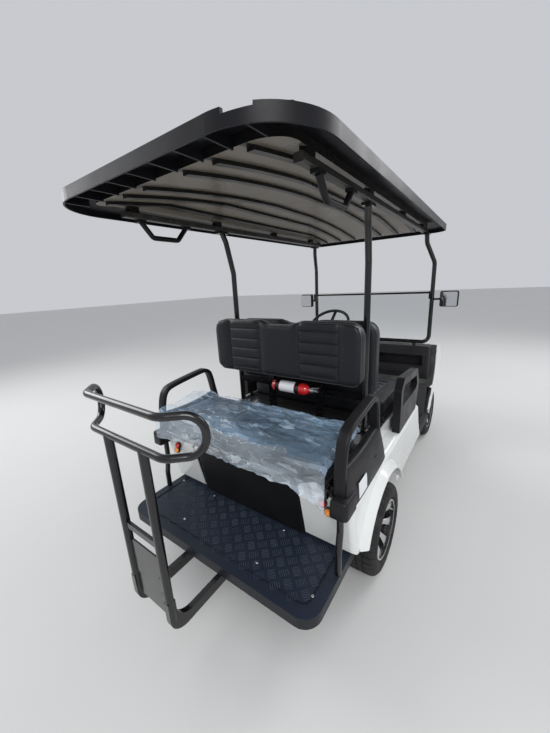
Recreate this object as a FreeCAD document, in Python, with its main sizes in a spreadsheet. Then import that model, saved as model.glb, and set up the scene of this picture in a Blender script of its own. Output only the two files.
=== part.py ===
import FreeCAD, Part
import math
import os

import Sketcher
from FreeCAD import Placement, Rotation, Vector

# Four-seat golf cart with a rear-facing bench, a folding windscreen and a grab bar.
# Millimetres. X forward, Y to the left, Z up. The origin is on the ground, under the middle
# of the whole cart. Sizes that end in _at are measured forward from the rear axle and sizes
# that end in _by forward from the front axle. Sizes that end in _up are heights above the
# ground, and sizes that end in _off are distances from the centre plane.

doc = FreeCAD.newDocument("golf_cart")
sheet = doc.addObject("Spreadsheet::Sheet", "dims")

DIMENSIONS = [
    # whole cart
    ("rear_overhang", 928), ("wheelbase", 1670), ("front_overhang", 420),
    ("rear_track", 1035), ("front_track", 900), ("fit_gap", 0.3), ("moving_gap", 8),
    # tyres and rims
    ("tyre_radius", 229), ("tyre_width", 205), ("tyre_tread_width", 168), ("bead_radius", 145),
    ("bead_width", 160), ("shoulder_radius", 24), ("flank_rise", 24), ("rim_lip_radius", 149),
    ("rim_lip_width", 9), ("rim_wall", 6), ("rim_hub_radius", 46), ("rim_hub_depth", 62),
    ("rim_seat_off", 12), ("spoke_count", 8), ("spoke_width", 34), ("spoke_depth", 14),
    ("hub_cap_radius", 31),
    # chassis
    ("rail_off", 250), ("rail_width", 50), ("rail_depth", 70), ("rear_rail_up", 334),
    ("front_rail_up", 222), ("rail_drop_start_at", 285), ("rail_drop_end_at", 400),
    ("rail_rear_at", -330), ("nose_rail_off", 165), ("nose_rail_by", -340),
    ("rail_setback", 35), ("cross_member_size", 40),
    ("axle_radius", 35), ("drum_radius", 88), ("drum_width", 50), ("axle_shaft_radius", 17),
    ("motor_radius", 88), ("motor_length", 250), ("gearbox_size", 190),
    ("spring_span", 420), ("spring_width", 56), ("spring_leaf", 7), ("spring_rise", 38),
    ("kingpin_off", 382), ("kingpin_radius", 17), ("kingpin_height", 150),
    ("steer_arm_length", 90), ("arm_thickness", 22),
    ("battery_length", 350), ("battery_width", 560), ("battery_height", 250),
    ("battery_at", 430),
    # rear body
    ("body_off", 580), ("body_wall", 6), ("body_edge", 30), ("deck_up", 672),
    ("body_rear_at", -405), ("body_tail_at", -345), ("body_tail_up", 352),
    ("shoulder_up", 612), ("upper_off", 514.7), ("sill_up", 300), ("seat_riser_at", 790),
    ("sill_front_at", 985), ("arch_radius", 310), ("arch_lip", 14), ("arch_lip_proud", 36),
    ("arch_flare", 42),
    # front body
    ("floor_up", 292.3), ("floor_thickness", 12), ("floor_off", 566), ("toe_start_by", -285),
    ("toe_end_by", -200), ("toe_top_up", 560), ("cowl_top_up", 905), ("cowl_rear_by", -140),
    ("nose_front_by", 370), ("nose_up", 640), ("front_arch_radius", 285),
    ("dash_rear_by", -275), ("dash_top_up", 902), ("dash_bottom_up", 610), ("dash_off", 540),
    ("bumper_height", 110), ("bumper_up", 285), ("bumper_depth", 70), ("bumper_off", 470),
    # roof
    ("roof_off", 584), ("roof_rear_at", -776), ("roof_front_by", -170), ("roof_rim_up", 1795),
    ("roof_rise", 126), ("roof_corner", 225), ("roof_front_corner", 110), ("roof_wall", 6),
    ("roof_rim_depth", 26), ("roof_lip", 14), ("roof_lip_wall", 10), ("outlet_off", 440),
    ("outlet_width", 70), ("liner_inset", 118), ("liner_thickness", 5), ("liner_corner", 90),
    ("liner_drop", 28), ("liner_rib_height", 12), ("liner_rib_width", 26),
    ("pocket_count", 8), ("pocket_rib", 6), ("roof_rail_off", 452), ("roof_rail_width", 34),
    ("roof_rail_depth", 26), ("roof_rail_rear_at", -520),
    # struts and windscreen
    ("strut_radius", 16), ("rear_strut_off", 430), ("rear_strut_at", 147),
    ("front_strut_off", 520), ("front_strut_by", -230), ("screen_bottom_up", 938),
    ("screen_fold_up", 1335), ("screen_thickness", 5), ("screen_gap", 12),
    # seats
    ("seat_off", 477), ("back_rear_at", -30), ("back_thickness", 84), ("back_bottom_up", 958),
    ("back_top_up", 1284), ("front_back_front_at", 268), ("cushion_off", 480),
    ("cushion_thickness", 95), ("rear_deck_up", 706), ("rear_cushion_at", -440),
    ("rear_cushion_length", 372), ("hinge_pin_radius", 6), ("deck_plate", 12), ("front_cushion_at", 318),
    ("front_cushion_length", 478), ("back_post_top_up", 1180),
    ("back_pad_up", 1040), ("back_pad_height", 80), ("stay_off", 542), ("seat_pan", 12),
    ("front_hinge_at", 306), ("front_hinge_rise", 8), ("seat_corner", 26),
    # armrests
    ("armrest_off", 539), ("armrest_width", 48), ("armrest_rear_at", -452),
    ("armrest_height", 363), ("armrest_front_at", 50), ("web_bulge", 24), ("foot_reach", 26),
    ("foot_length", 108), ("foot_height", 76), ("hip_off", 556), ("hip_rear_at", 318),
    ("hip_front_at", 800), ("hip_height", 312),
    # rear step
    ("step_up", 330), ("step_rim", 48), ("step_thickness", 9), ("step_off", 552),
    ("step_rear_at", -680), ("step_front_at", -262), ("step_corner", 75),
    ("tub_off", 330), ("tub_rear_at", -335), ("tub_wall", 5),
    ("grab_tube_radius", 12.7), ("grab_post_radius", 15.5),
    ("grab_post_off", 105), ("grab_top_up", 1122), ("grab_low_up", 992), ("grab_half_width", 210),
    ("grab_return", 85), ("grab_end", 95), ("grab_post_bottom_up", 300), ("grab_cross_up", 628),
    ("grab_arm_up", 238), ("grab_arm_width", 24), ("grab_arm_bend", 72), ("step_cross_depth", 24),
    ("plate_bottom_up", 312), ("plate_height", 256), ("plate_corner", 28),
    ("plate_hole_width", 146), ("plate_hole_height", 70), ("plate_hole_radius", 3.5),
    # controls
    ("wheel_radius", 178), ("wheel_rim_radius", 13), ("wheel_by", -492), ("wheel_up", 1090),
    ("wheel_off", 265), ("column_tilt", 50), ("column_radius", 24),
    ("bottle_at", 52), ("bottle_up", 888), ("bottle_radius", 33),
    ("mirror_off", 640), ("mirror_by", -208), ("mirror_up", 1290),
]
for row, (alias, number) in enumerate(DIMENSIONS, 1):
    sheet.set("A%d" % row, alias)
    sheet.set("B%d" % row, str(number))
    sheet.setAlias("B%d" % row, alias)
doc.recompute()


class Size:
    """A number that keeps the spreadsheet formula it comes from."""

    def __init__(self, value, formula):
        self.value = float(value)
        self.formula = formula

    def join(self, other, sign, value):
        return Size(value, "(%s %s %s)" % (self.formula, sign, other.formula))

    def __add__(self, other):
        other = size(other)
        return self.join(other, "+", self.value + other.value)

    def __sub__(self, other):
        other = size(other)
        return self.join(other, "-", self.value - other.value)

    def __mul__(self, other):
        other = size(other)
        return self.join(other, "*", self.value * other.value)

    def __truediv__(self, other):
        other = size(other)
        return self.join(other, "/", self.value / other.value)

    def __radd__(self, other):
        return size(other) + self

    def __rsub__(self, other):
        return size(other) - self

    def __rmul__(self, other):
        return size(other) * self

    def __neg__(self):
        return size(0) - self

    def __float__(self):
        return self.value


def size(number):
    """The number as a Size, with its own digits as its formula."""
    if isinstance(number, Size):
        return number
    if number < 0:
        return Size(number, "(0 - %s)" % abs(number))
    return Size(number, "%s" % number)


class Dimensions:
    """Each alias of the sheet as a Size."""


d = Dimensions()
for alias, number in DIMENSIONS:
    setattr(d, alias, Size(sheet.get(alias), "dims." + alias))

CART_LENGTH = d.rear_overhang + d.wheelbase + d.front_overhang
REAR_AXLE = d.rear_overhang - CART_LENGTH / 2
FRONT_AXLE = REAR_AXLE + d.wheelbase
CART_FRONT = CART_LENGTH / 2
GRAB_X = d.grab_post_radius - CART_LENGTH / 2
BEAM_UP = d.step_up - d.step_rim - d.fit_gap
BEAM_DEPTH = size(42)
HINGE_Z = d.rear_deck_up - d.deck_plate / 2
ROOF_RAIL_UP = d.roof_rim_up - 12
ROOF_CROWN_UP = d.roof_rim_up + d.roof_rise
RAIL_FRONT = CART_FRONT - d.bumper_depth - d.rail_setback
BUMPER_TOP = d.bumper_up + d.bumper_height - 40
BOTTLE_AT = d.bottle_at
BOTTLE_UP = d.bottle_up
BOTTLE_RADIUS = d.bottle_radius


def ahead(distance):
    """X of a place that is given as a distance forward from the rear axle."""
    return REAR_AXLE + distance


def fore(distance):
    """X of a place that is given as a distance forward from the front axle."""
    return FRONT_AXLE + distance


HINGE_X = ahead(d.rear_cushion_at) - 6
FRONT_PAN_UP = d.deck_up + d.fit_gap
FRONT_HINGE_X = ahead(d.front_hinge_at)
FRONT_HINGE_Z = FRONT_PAN_UP + d.front_hinge_rise


def vec(x, y, z):
    return Vector(float(x), float(y), float(z))


def bind(thing, path, formula_size):
    thing.setExpression(path, size(formula_size).formula)


def place(thing, x, y, z, rotation=None):
    """Bind a placement's base to sizes and set its rotation."""
    thing.Placement = Placement(vec(x, y, z), rotation or Rotation())
    bind(thing, ".Placement.Base.x", x)
    bind(thing, ".Placement.Base.y", y)
    bind(thing, ".Placement.Base.z", z)
    return thing


def box(name, x_range, y_range, z_range):
    thing = doc.addObject("Part::Box", name)
    bind(thing, "Length", x_range[1] - x_range[0])
    bind(thing, "Width", y_range[1] - y_range[0])
    bind(thing, "Height", z_range[1] - z_range[0])
    return place(thing, x_range[0], y_range[0], z_range[0])


ALONG = {
    "X": Rotation(Vector(0, 1, 0), 90),
    "Y": Rotation(Vector(1, 0, 0), -90),
    "Z": Rotation(),
}


def cylinder(name, radius, length, start, axis):
    """A round bar that starts at a point and runs along +X, +Y or +Z."""
    thing = doc.addObject("Part::Cylinder", name)
    bind(thing, "Radius", radius)
    bind(thing, "Height", length)
    return place(thing, start[0], start[1], start[2], ALONG[axis])


def shape_object(name, shape):
    thing = doc.addObject("Part::Feature", name)
    thing.Shape = shape
    return thing


def fuse(name, pieces):
    thing = doc.addObject("Part::MultiFuse", name)
    thing.Shapes = pieces
    return thing


def cut(name, base, tool):
    thing = doc.addObject("Part::Cut", name)
    thing.Base = base
    thing.Tool = tool
    return thing


def common(name, first, second):
    thing = doc.addObject("Part::Common", name)
    thing.Base = first
    thing.Tool = second
    return thing


def group(name, pieces):
    """Like pieces that don't touch, kept in one sub-part."""
    thing = doc.addObject("Part::Compound", name)
    thing.Links = pieces
    return thing


def mirrored(name, source):
    """The same piece on the other side of the centre plane."""
    thing = doc.addObject("Part::Mirroring", name)
    thing.Source = source
    thing.Base = Vector(0, 0, 0)
    thing.Normal = Vector(0, 1, 0)
    return thing


def pair(name, source):
    return group(name, [source, mirrored(name + "_other", source)])


def round_edges(name, base, radius, wanted):
    """Fillet the edges of a solid that the wanted rule picks."""
    doc.recompute()
    thing = doc.addObject("Part::Fillet", name)
    thing.Base = base
    picked = []
    for number, edge in enumerate(base.Shape.Edges, 1):
        if wanted(edge):
            picked.append((number, float(radius), float(radius)))
    thing.Edges = picked
    return thing


def origin_plane(body, role):
    for feature in body.Origin.OriginFeatures:
        if feature.Role == role:
            return feature


def outline_sketch(body, name, plane, points):
    """A closed outline of straight lines whose corners are bound to the sheet."""
    sketch = body.newObject("Sketcher::SketchObject", name)
    sketch.AttachmentSupport = [(origin_plane(body, plane), "")]
    sketch.MapMode = "FlatFace"
    places = [(size(u), size(v)) for u, v in points]
    corners = [Vector(float(u), float(v), 0) for u, v in places]
    for number, corner in enumerate(corners):
        following = corners[(number + 1) % len(corners)]
        sketch.addGeometry(Part.LineSegment(corner, following), False)
    for number in range(len(corners)):
        following = (number + 1) % len(corners)
        sketch.addConstraint(Sketcher.Constraint("Coincident", number, 2, following, 1))
    for number, (u, v) in enumerate(places):
        across = sketch.addConstraint(
            Sketcher.Constraint("DistanceX", -1, 1, number, 1, float(u)))
        sketch.setExpression("Constraints[%d]" % across, u.formula)
        upward = sketch.addConstraint(
            Sketcher.Constraint("DistanceY", -1, 1, number, 1, float(v)))
        sketch.setExpression("Constraints[%d]" % upward, v.formula)
    return sketch


def profile_body(name, plane, points, width, rounding=()):
    """An outline padded by half its width to each side, with some edges rounded.

    rounding holds pairs of a radius and a rule that picks edges.
    """
    body = doc.addObject("PartDesign::Body", name)
    sketch = outline_sketch(body, name + "_outline", plane, points)
    pad = body.newObject("PartDesign::Pad", name + "_pad")
    pad.Profile = sketch
    pad.SideType = "Symmetric"
    bind(pad, "Length", width)
    for number, (radius, wanted) in enumerate(rounding):
        doc.recompute()
        base = body.Tip
        fillet = body.newObject("PartDesign::Fillet", "%s_round%d" % (name, number))
        names = []
        for index, edge in enumerate(base.Shape.Edges, 1):
            if wanted(edge):
                names.append("Edge%d" % index)
        fillet.Base = (base, names)
        bind(fillet, "Radius", radius)
    return body


def revolved_body(name, points, rounding=()):
    """An outline in the YZ plane turned about the Y axis."""
    body = doc.addObject("PartDesign::Body", name)
    sketch = outline_sketch(body, name + "_outline", "YZ_Plane", points)
    turn = body.newObject("PartDesign::Revolution", name + "_turn")
    turn.Profile = sketch
    turn.ReferenceAxis = (sketch, ["H_Axis"])
    turn.Angle = 360
    for number, (radius, wanted) in enumerate(rounding):
        doc.recompute()
        base = body.Tip
        fillet = body.newObject("PartDesign::Fillet", "%s_round%d" % (name, number))
        names = []
        for index, edge in enumerate(base.Shape.Edges, 1):
            if wanted(edge):
                names.append("Edge%d" % index)
        fillet.Base = (base, names)
        bind(fillet, "Radius", radius)
    return body


def runs_along(axis):
    """A rule for straight edges parallel to an axis."""
    direction = {"X": Vector(1, 0, 0), "Y": Vector(0, 1, 0), "Z": Vector(0, 0, 1)}[axis]

    def rule(edge):
        if not isinstance(edge.Curve, Part.Line):
            return False
        return abs(edge.Curve.Direction.dot(direction)) > 0.999
    return rule


def on_sides(half_width):
    """A rule for edges that lie in the planes at both sides of a part."""
    def rule(edge):
        bounds = edge.BoundBox
        flat = bounds.YLength < 0.01
        return flat and abs(abs(bounds.YMax) - float(half_width)) < 0.01
    return rule


def rounded_line(points, bend, closed=False):
    """A wire through points, its corners rounded by tangent arcs."""
    count = len(points)
    edges = []
    starts = {}
    ends = {}
    arcs = {}
    for number in range(count):
        if not closed and number in (0, count - 1):
            starts[number] = ends[number] = points[number]
            continue
        here = points[number]
        back = (points[number - 1] - here).normalize()
        on = (points[(number + 1) % count] - here).normalize()
        turn = math.pi - back.getAngle(on)
        if turn < 0.01:
            starts[number] = ends[number] = here
            continue
        trim = bend * math.tan(turn / 2)
        starts[number] = here + back * trim
        ends[number] = here + on * trim
        inward = (back + on).normalize()
        reach = bend / math.cos(turn / 2) - bend
        arcs[number] = here + inward * reach
    for number in range(count):
        if number in arcs:
            edges.append(Part.Arc(starts[number], arcs[number], ends[number]).toShape())
        if number < count - 1 or closed:
            following = (number + 1) % count
            if (starts[following] - ends[number]).Length > 0.001:
                edges.append(Part.LineSegment(ends[number], starts[following]).toShape())
    return Part.Wire(edges)


def tube(name, points, bend, radius, closed=False):
    """A round tube swept along a bent line."""
    line = shape_object(name + "_line", rounded_line([vec(*p) for p in points],
                                                     float(bend), closed))
    first = line.Shape.Edges[0]
    start = first.valueAt(first.FirstParameter)
    direction = first.tangentAt(first.FirstParameter)
    ring = doc.addObject("Part::Circle", name + "_ring")
    bind(ring, "Radius", radius)
    ring.Placement = Placement(start, Rotation(Vector(0, 0, 1), direction))
    sweep = doc.addObject("Part::Sweep", name)
    sweep.Sections = [ring]
    sweep.Spine = (line, ["Edge%d" % (n + 1) for n in range(len(line.Shape.Edges))])
    sweep.Solid = True
    sweep.Frenet = False
    return sweep


NODES = []


def node(name, thing):
    thing.Label = name
    NODES.append(thing)
    return thing


def make_tyre(name, x, y):
    half = d.tyre_width / 2
    tread = d.tyre_tread_width / 2
    bead = d.bead_width / 2
    points = [
        (-bead, d.bead_radius), (-half, d.bead_radius + d.flank_rise),
        (-half, d.tyre_radius - 42),
        (-tread, d.tyre_radius), (tread, d.tyre_radius), (half, d.tyre_radius - 42),
        (half, d.bead_radius + d.flank_rise), (bead, d.bead_radius),
    ]

    def shoulders(edge):
        radius = getattr(edge.Curve, "Radius", 0)
        return abs(radius - float(d.tyre_radius)) < 0.01

    def flanks(edge):
        bounds = edge.BoundBox
        wide = bounds.YLength < 0.01 and abs(abs(bounds.YMax) - float(half)) < 0.01
        return wide
    tyre = revolved_body(name, points, [(d.shoulder_radius, shoulders),
                                        (d.shoulder_radius, flanks)])
    node(name, place(tyre, x, y, d.tyre_radius))


def make_rim(name, x, y, outward):
    """A dished alloy rim: barrel, hub and spokes. Local +Y points away from the cart."""
    lip_inner = d.bead_width / 2 + 5
    lip_outer = lip_inner + d.rim_lip_width
    seat = d.bead_radius - d.fit_gap
    bore = seat - d.rim_wall
    barrel = revolved_body(name + "_barrel", [
        (-lip_outer, d.rim_lip_radius), (-lip_inner, d.rim_lip_radius), (-lip_inner, seat),
        (lip_inner, seat), (lip_inner, d.rim_lip_radius), (lip_outer, d.rim_lip_radius),
        (lip_outer, bore + 3), (lip_outer - 18, bore), (-lip_outer, bore)])
    hub_end = d.rim_hub_depth - d.rim_seat_off
    hub = cylinder(name + "_hub", d.rim_hub_radius, d.rim_hub_depth,
                   (0, -d.rim_seat_off, 0), "Y")
    cap = cylinder(name + "_cap", d.hub_cap_radius, 8, (0, hub_end - 1, 0), "Y")
    spoke = profile_body(name + "_spoke", "XZ_Plane", [
        (-d.spoke_width / 2 + 4, d.rim_hub_radius - 8), (d.spoke_width / 2 - 4,
                                                         d.rim_hub_radius - 8),
        (d.spoke_width / 2 + 8, bore + 2), (-d.spoke_width / 2 - 2, bore + 2)],
        d.spoke_depth)
    place(spoke, 0, hub_end - d.spoke_depth / 2 - 3, 0)
    doc.recompute()
    spokes = []
    count = int(d.spoke_count.value)
    for number in range(count):
        copy = doc.addObject("Part::Feature", "%s_spoke%d" % (name, number))
        copy.Shape = spoke.Shape.copy()
        copy.Placement = Placement(Vector(0, 0, 0), Rotation(
            Vector(0, 1, 0), 360.0 * number / count)).multiply(spoke.Placement)
        spokes.append(copy)
    rim = fuse(name, [barrel, hub, cap] + spokes)
    place(rim, x, y, d.tyre_radius, Rotation(Vector(0, 0, 1), 0 if outward > 0 else 180))
    node(name, rim)


def make_wheels():
    corners = [
        # name, axle, half track, side
        ("rear_left", REAR_AXLE, d.rear_track / 2, 1),
        ("rear_right", REAR_AXLE, -d.rear_track / 2, -1),
        ("front_left", FRONT_AXLE, d.front_track / 2, 1),
        ("front_right", FRONT_AXLE, -d.front_track / 2, -1),
    ]
    for corner, axle, off, side in corners:
        make_tyre("tyre_" + corner, axle, off)
        make_rim("rim_" + corner, axle, off, side)


def make_rails():
    """Two box rails that drop under the floor and draw in beside the front wheels."""
    rear = d.rear_rail_up
    front = d.front_rail_up
    deep = d.rail_depth
    side = [
        (ahead(d.rail_rear_at), rear), (ahead(d.rail_drop_start_at), rear),
        (ahead(d.rail_drop_end_at), front), (fore(d.nose_rail_by), front),
        (fore(d.nose_rail_by), front + deep), (ahead(d.rail_drop_end_at) + 20, front + deep),
        (ahead(d.rail_drop_start_at) + 20, rear + deep), (ahead(d.rail_rear_at), rear + deep),
    ]
    main = profile_body("rail_left_main", "XZ_Plane", side, d.rail_width)
    place(main, 0, d.rail_off, 0)
    nose = box("rail_left_nose", (fore(d.nose_rail_by) - 60, RAIL_FRONT),
               (d.nose_rail_off - d.rail_width / 2, d.nose_rail_off + d.rail_width / 2),
               (front, front + deep))
    bar = d.cross_member_size
    crosses = []
    # rear face, half length and rail underside of each cross member
    stations = [
        ("rear", ahead(d.rail_rear_at) + 2, d.rail_off, rear),
        ("seat", ahead(d.rail_drop_end_at) + 40, d.rail_off, front),
        ("floor", fore(d.nose_rail_by) - 62, d.rail_off, front),
        ("nose", RAIL_FRONT - 42, d.nose_rail_off, front),
        ("arms", FRONT_AXLE - bar * 1.5, d.nose_rail_off, front),
    ]
    for label, start, reach, up in stations:
        crosses.append(box("cross_" + label, (start, start + bar), (-reach, reach),
                           (up + 4, up + 4 + bar)))
    wide = box("cross_wide", (fore(d.nose_rail_by) - 60, fore(d.nose_rail_by)),
               (-d.rail_off, d.rail_off), (front + 4, front + deep - 4))
    node("frame_rails", fuse("rails", [
        main, mirrored("rail_right_main", main), nose, mirrored("rail_right_nose", nose),
        wide] + crosses + step_beams()))


def make_rear_axle():
    """Axle tube with brake drums, gearbox and motor, and the leaf springs on it."""
    hub_face = d.rear_track / 2 - d.rim_seat_off - d.fit_gap
    tube_bar = cylinder("axle_tube", d.axle_radius, hub_face * 2, (REAR_AXLE, -hub_face,
                                                                   d.tyre_radius), "Y")
    drum = cylinder("axle_drum", d.drum_radius, d.drum_width,
                    (REAR_AXLE, hub_face - d.drum_width, d.tyre_radius), "Y")
    half = d.gearbox_size / 2
    gearbox = box("axle_gearbox", (REAR_AXLE - half * 0.8, REAR_AXLE + half),
                  (-half * 0.5, half * 0.5), (d.tyre_radius - half * 0.7,
                                              d.tyre_radius + half * 0.7))
    motor = cylinder("axle_motor", d.motor_radius * 0.74, d.motor_length,
                     (REAR_AXLE + half * 0.3, half * 0.5 - 2, d.tyre_radius + 4), "Y")
    softened = round_edges("axle_gearbox_round", gearbox, 22, runs_along("Y"))
    motor_limit = box("axle_motor_limit", (REAR_AXLE - 200, REAR_AXLE + 200),
                      (0, d.rail_off - d.rail_width), (0, d.tyre_radius * 2))
    node("rear_axle", fuse("rear_axle_solid", [
        tube_bar, drum, mirrored("axle_drum_other", drum), softened,
        common("axle_motor_trim", motor, motor_limit)]))
    rest = d.tyre_radius + d.axle_radius + d.fit_gap
    half_span = float(d.spring_span) / 2
    low = float(rest)
    high = low + float(d.spring_rise)
    leaves = []
    x_mid = float(REAR_AXLE)
    for number, share in enumerate((1.0, 0.72, 0.46)):
        reach = half_span * share
        lift = float(d.spring_rise) * share * share
        base = low + (2 - number) * float(d.spring_leaf)
        thick = float(d.spring_leaf)
        lower = Part.Arc(Vector(x_mid - reach, 0, base + lift), Vector(x_mid, 0, base),
                         Vector(x_mid + reach, 0, base + lift)).toShape()
        upper = Part.Arc(Vector(x_mid + reach, 0, base + lift + thick),
                         Vector(x_mid, 0, base + thick),
                         Vector(x_mid - reach, 0, base + lift + thick)).toShape()
        ends = [Part.makeLine(lower.Vertexes[-1].Point, upper.Vertexes[0].Point),
                Part.makeLine(upper.Vertexes[-1].Point, lower.Vertexes[0].Point)]
        face = Part.Face(Part.Wire([lower, ends[0], upper, ends[1]]))
        leaves.append(face.extrude(Vector(0, float(d.spring_width), 0)))
    for side in (-1, 1):
        hanger = Part.makeBox(44, float(d.spring_width), float(d.rear_rail_up) - high - 8,
                              Vector(x_mid + side * (half_span - 20) - 22, 0, high + 7.5))
        leaves.append(hanger)
    pack = leaves[0].multiFuse(leaves[1:])
    pack.translate(Vector(0, float(d.rail_off - d.spring_width / 2), 0))
    spring = shape_object("spring_left", pack)
    node("rear_springs", pair("springs", spring))


def make_front_suspension():
    """Lower arms, from the front rails to the kingpins, and leaning dampers above them."""
    low = d.tyre_radius - d.kingpin_height / 2
    inner = d.nose_rail_off + d.rail_width / 2 + d.fit_gap
    outer = d.kingpin_off
    arm = profile_body("arm_left", "XY_Plane", [
        (FRONT_AXLE - 95, inner), (FRONT_AXLE - 62, inner), (FRONT_AXLE - 9, inner + 92),
        (FRONT_AXLE + 9, inner + 92), (FRONT_AXLE + 62, inner), (FRONT_AXLE + 95, inner),
        (FRONT_AXLE + 20, outer - 52), (FRONT_AXLE + 16, outer + 14),
        (FRONT_AXLE - 16, outer + 14), (FRONT_AXLE - 20, outer - 52)], d.arm_thickness)
    arm_up = low - d.arm_thickness / 2 - d.fit_gap
    place(arm, 0, 0, arm_up)
    bracket = box("arm_bracket", (FRONT_AXLE - 95, FRONT_AXLE + 95),
                  (inner - 30, inner + 16), (arm_up - d.arm_thickness / 2,
                                             d.front_rail_up - d.fit_gap))
    damper = doc.addObject("Part::Cylinder", "damper_left")
    bind(damper, "Radius", 24)
    foot = vec(FRONT_AXLE, inner + 100, arm_up + 8)
    head = vec(FRONT_AXLE, inner + 34, d.front_rail_up + 250)
    damper.Height = (head - foot).Length
    damper.Placement = Placement(foot, Rotation(Vector(0, 0, 1), head - foot))
    tower = box("damper_tower", (FRONT_AXLE - 30, FRONT_AXLE + 30),
                (d.nose_rail_off - 20, inner + 58), (d.front_rail_up + 232,
                                                     d.front_rail_up + 262))
    post = box("damper_post", (FRONT_AXLE - 30, FRONT_AXLE + 30),
               (d.nose_rail_off - 20, d.nose_rail_off + 14),
               (d.front_rail_up + d.rail_depth + d.fit_gap, d.front_rail_up + 262))
    left = fuse("suspension_left", [arm, bracket, damper, tower, post])
    node("front_suspension", pair("front_suspension_pair", left))


def make_knuckles():
    """Each knuckle carries a kingpin post, a stub axle with its drum and a steering arm."""
    low = d.tyre_radius - d.kingpin_height / 2
    hub_face = d.front_track / 2 - d.rim_seat_off - d.fit_gap
    for label, side in (("left", 1), ("right", -1)):
        name = "knuckle_" + label
        post = cylinder(name + "_post", d.kingpin_radius, d.kingpin_height,
                        (FRONT_AXLE, side * d.kingpin_off, low), "Z")
        start = d.kingpin_off if side > 0 else -hub_face
        stub = cylinder(name + "_stub", d.axle_shaft_radius + 6, hub_face - d.kingpin_off,
                        (FRONT_AXLE, start, d.tyre_radius), "Y")
        drum_start = hub_face - 30 if side > 0 else -hub_face
        drum = cylinder(name + "_drum", d.drum_radius - 8, 30,
                        (FRONT_AXLE, drum_start, d.tyre_radius), "Y")
        near = d.kingpin_off - 10
        arm_y = (near, near + 20) if side > 0 else (-near - 20, -near)
        arm = box(name + "_arm", (FRONT_AXLE - d.steer_arm_length, FRONT_AXLE),
                  arm_y, (d.tyre_radius - 40, d.tyre_radius - 26))
        node(name, fuse(name + "_solid", [post, stub, drum, arm]))


def make_battery():
    top = d.front_rail_up + d.rail_depth + d.fit_gap
    plain = box("battery_plain", (ahead(d.battery_at), ahead(d.battery_at)
                                  + d.battery_length),
                (-d.battery_width / 2, d.battery_width / 2), (top, top + d.battery_height))
    node("battery_block", round_edges("battery", plain, 12, runs_along("Z")))


def body_outline(inset):
    """Side outline of the rear body, drawn in by a wall's thickness."""
    return [
        (ahead(d.body_tail_at) + inset, d.body_tail_up),
        (ahead(d.body_rear_at) + inset, d.deck_up - 22),
        (ahead(d.body_rear_at) + 18 + inset * 0.5, d.deck_up - inset),
        (ahead(d.seat_riser_at) - inset * 0.5, d.deck_up - inset),
        (ahead(d.seat_riser_at) + 96 - inset, d.deck_up - 220),
        (ahead(d.sill_front_at) - inset, d.sill_up),
        (REAR_AXLE, d.sill_up), (REAR_AXLE, d.step_up + d.moving_gap),
        (ahead(d.body_tail_at) + 18 + inset, d.step_up + d.moving_gap),
    ]


def stepped_body(name, inset):
    """Fender-wide lower body with a narrower top that the seat bases stand beside."""
    off = d.body_off - inset
    upper = d.upper_off - inset
    full = profile_body(name + "_side", "XZ_Plane", body_outline(inset), off * 2)
    section = profile_body(name + "_section", "YZ_Plane", [
        (-off, d.sill_up - 60), (off, d.sill_up - 60), (off, d.shoulder_up - inset),
        (upper, d.shoulder_up - inset), (upper, d.deck_up + 60), (-upper, d.deck_up + 60),
        (-upper, d.shoulder_up - inset), (-off, d.shoulder_up - inset)], size(3200),
        [(d.body_edge - inset, lambda edge: runs_along("X")(edge)
          and abs(abs(edge.BoundBox.YMax) - float(off)) < 0.01
          and edge.BoundBox.ZMax > float(d.shoulder_up) - 60)])
    both = common(name + "_both", full, section)
    return round_edges(name, both, d.body_edge - inset, lambda edge: (
        edge.BoundBox.XMax < float(ahead(d.body_tail_at) + inset) + 1
        and edge.BoundBox.YLength < 0.01
        and abs(edge.BoundBox.YMax) > float(off) - 1 and edge.BoundBox.ZLength > 100))


def make_rear_body():
    """White rear body: a hollow shell open below, with wheel arches and seat openings."""
    off = d.body_off
    wall = d.body_wall
    outer = stepped_body("rear_body_outer", size(0))
    inner = stepped_body("rear_body_inner", wall)
    well = cylinder("rear_arch", d.arch_radius, off * 2 + 100,
                    (REAR_AXLE, -off - 50, d.tyre_radius), "Y")
    tub_hole = box("tub_hole", (ahead(d.body_rear_at) - 40, ahead(d.rail_rear_at) + 330),
                   (-d.tub_off - 8, d.tub_off + 8), (d.sill_up - 20, d.deck_up + 60))
    seat_hole = box("battery_hole", (ahead(d.battery_at) - 60, ahead(d.battery_at)
                                     + d.battery_length - 6),
                    (-d.seat_off + 60, d.seat_off - 60), (d.deck_up - 60, d.deck_up + 40))
    under = box("under_cut", (ahead(d.body_rear_at) - 40, ahead(d.sill_front_at) + 40),
                (-off - 40, off + 40), (d.sill_up - 60, d.sill_up + 10))
    hollow = cut("rear_body_shell", outer, fuse("rear_body_cuts", [
        inner, well, tub_hole, seat_hole, under]))
    proud = off + d.arch_lip_proud
    edge = d.arch_radius + d.arch_lip
    flare = place(revolved_body("arch_flare", [
        (off - wall, d.arch_radius + d.arch_flare), (proud - wall, edge), (proud, edge - wall),
        (proud, d.arch_radius), (proud - wall, d.arch_radius), (proud - wall, edge - wall),
        (off - wall, d.arch_radius + d.arch_flare - wall * 2)]), REAR_AXLE, 0, d.tyre_radius)
    flare_keep = box("arch_flare_keep", (ahead(d.body_tail_at) + 28, REAR_AXLE + 400),
                     (off - 40, proud + 40), (d.body_tail_up, d.shoulder_up))
    lip = common("arch_lip", flare, flare_keep)
    node("body_rear", fuse("rear_body", [hollow, lip, mirrored("arch_lip_other", lip)]))


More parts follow.
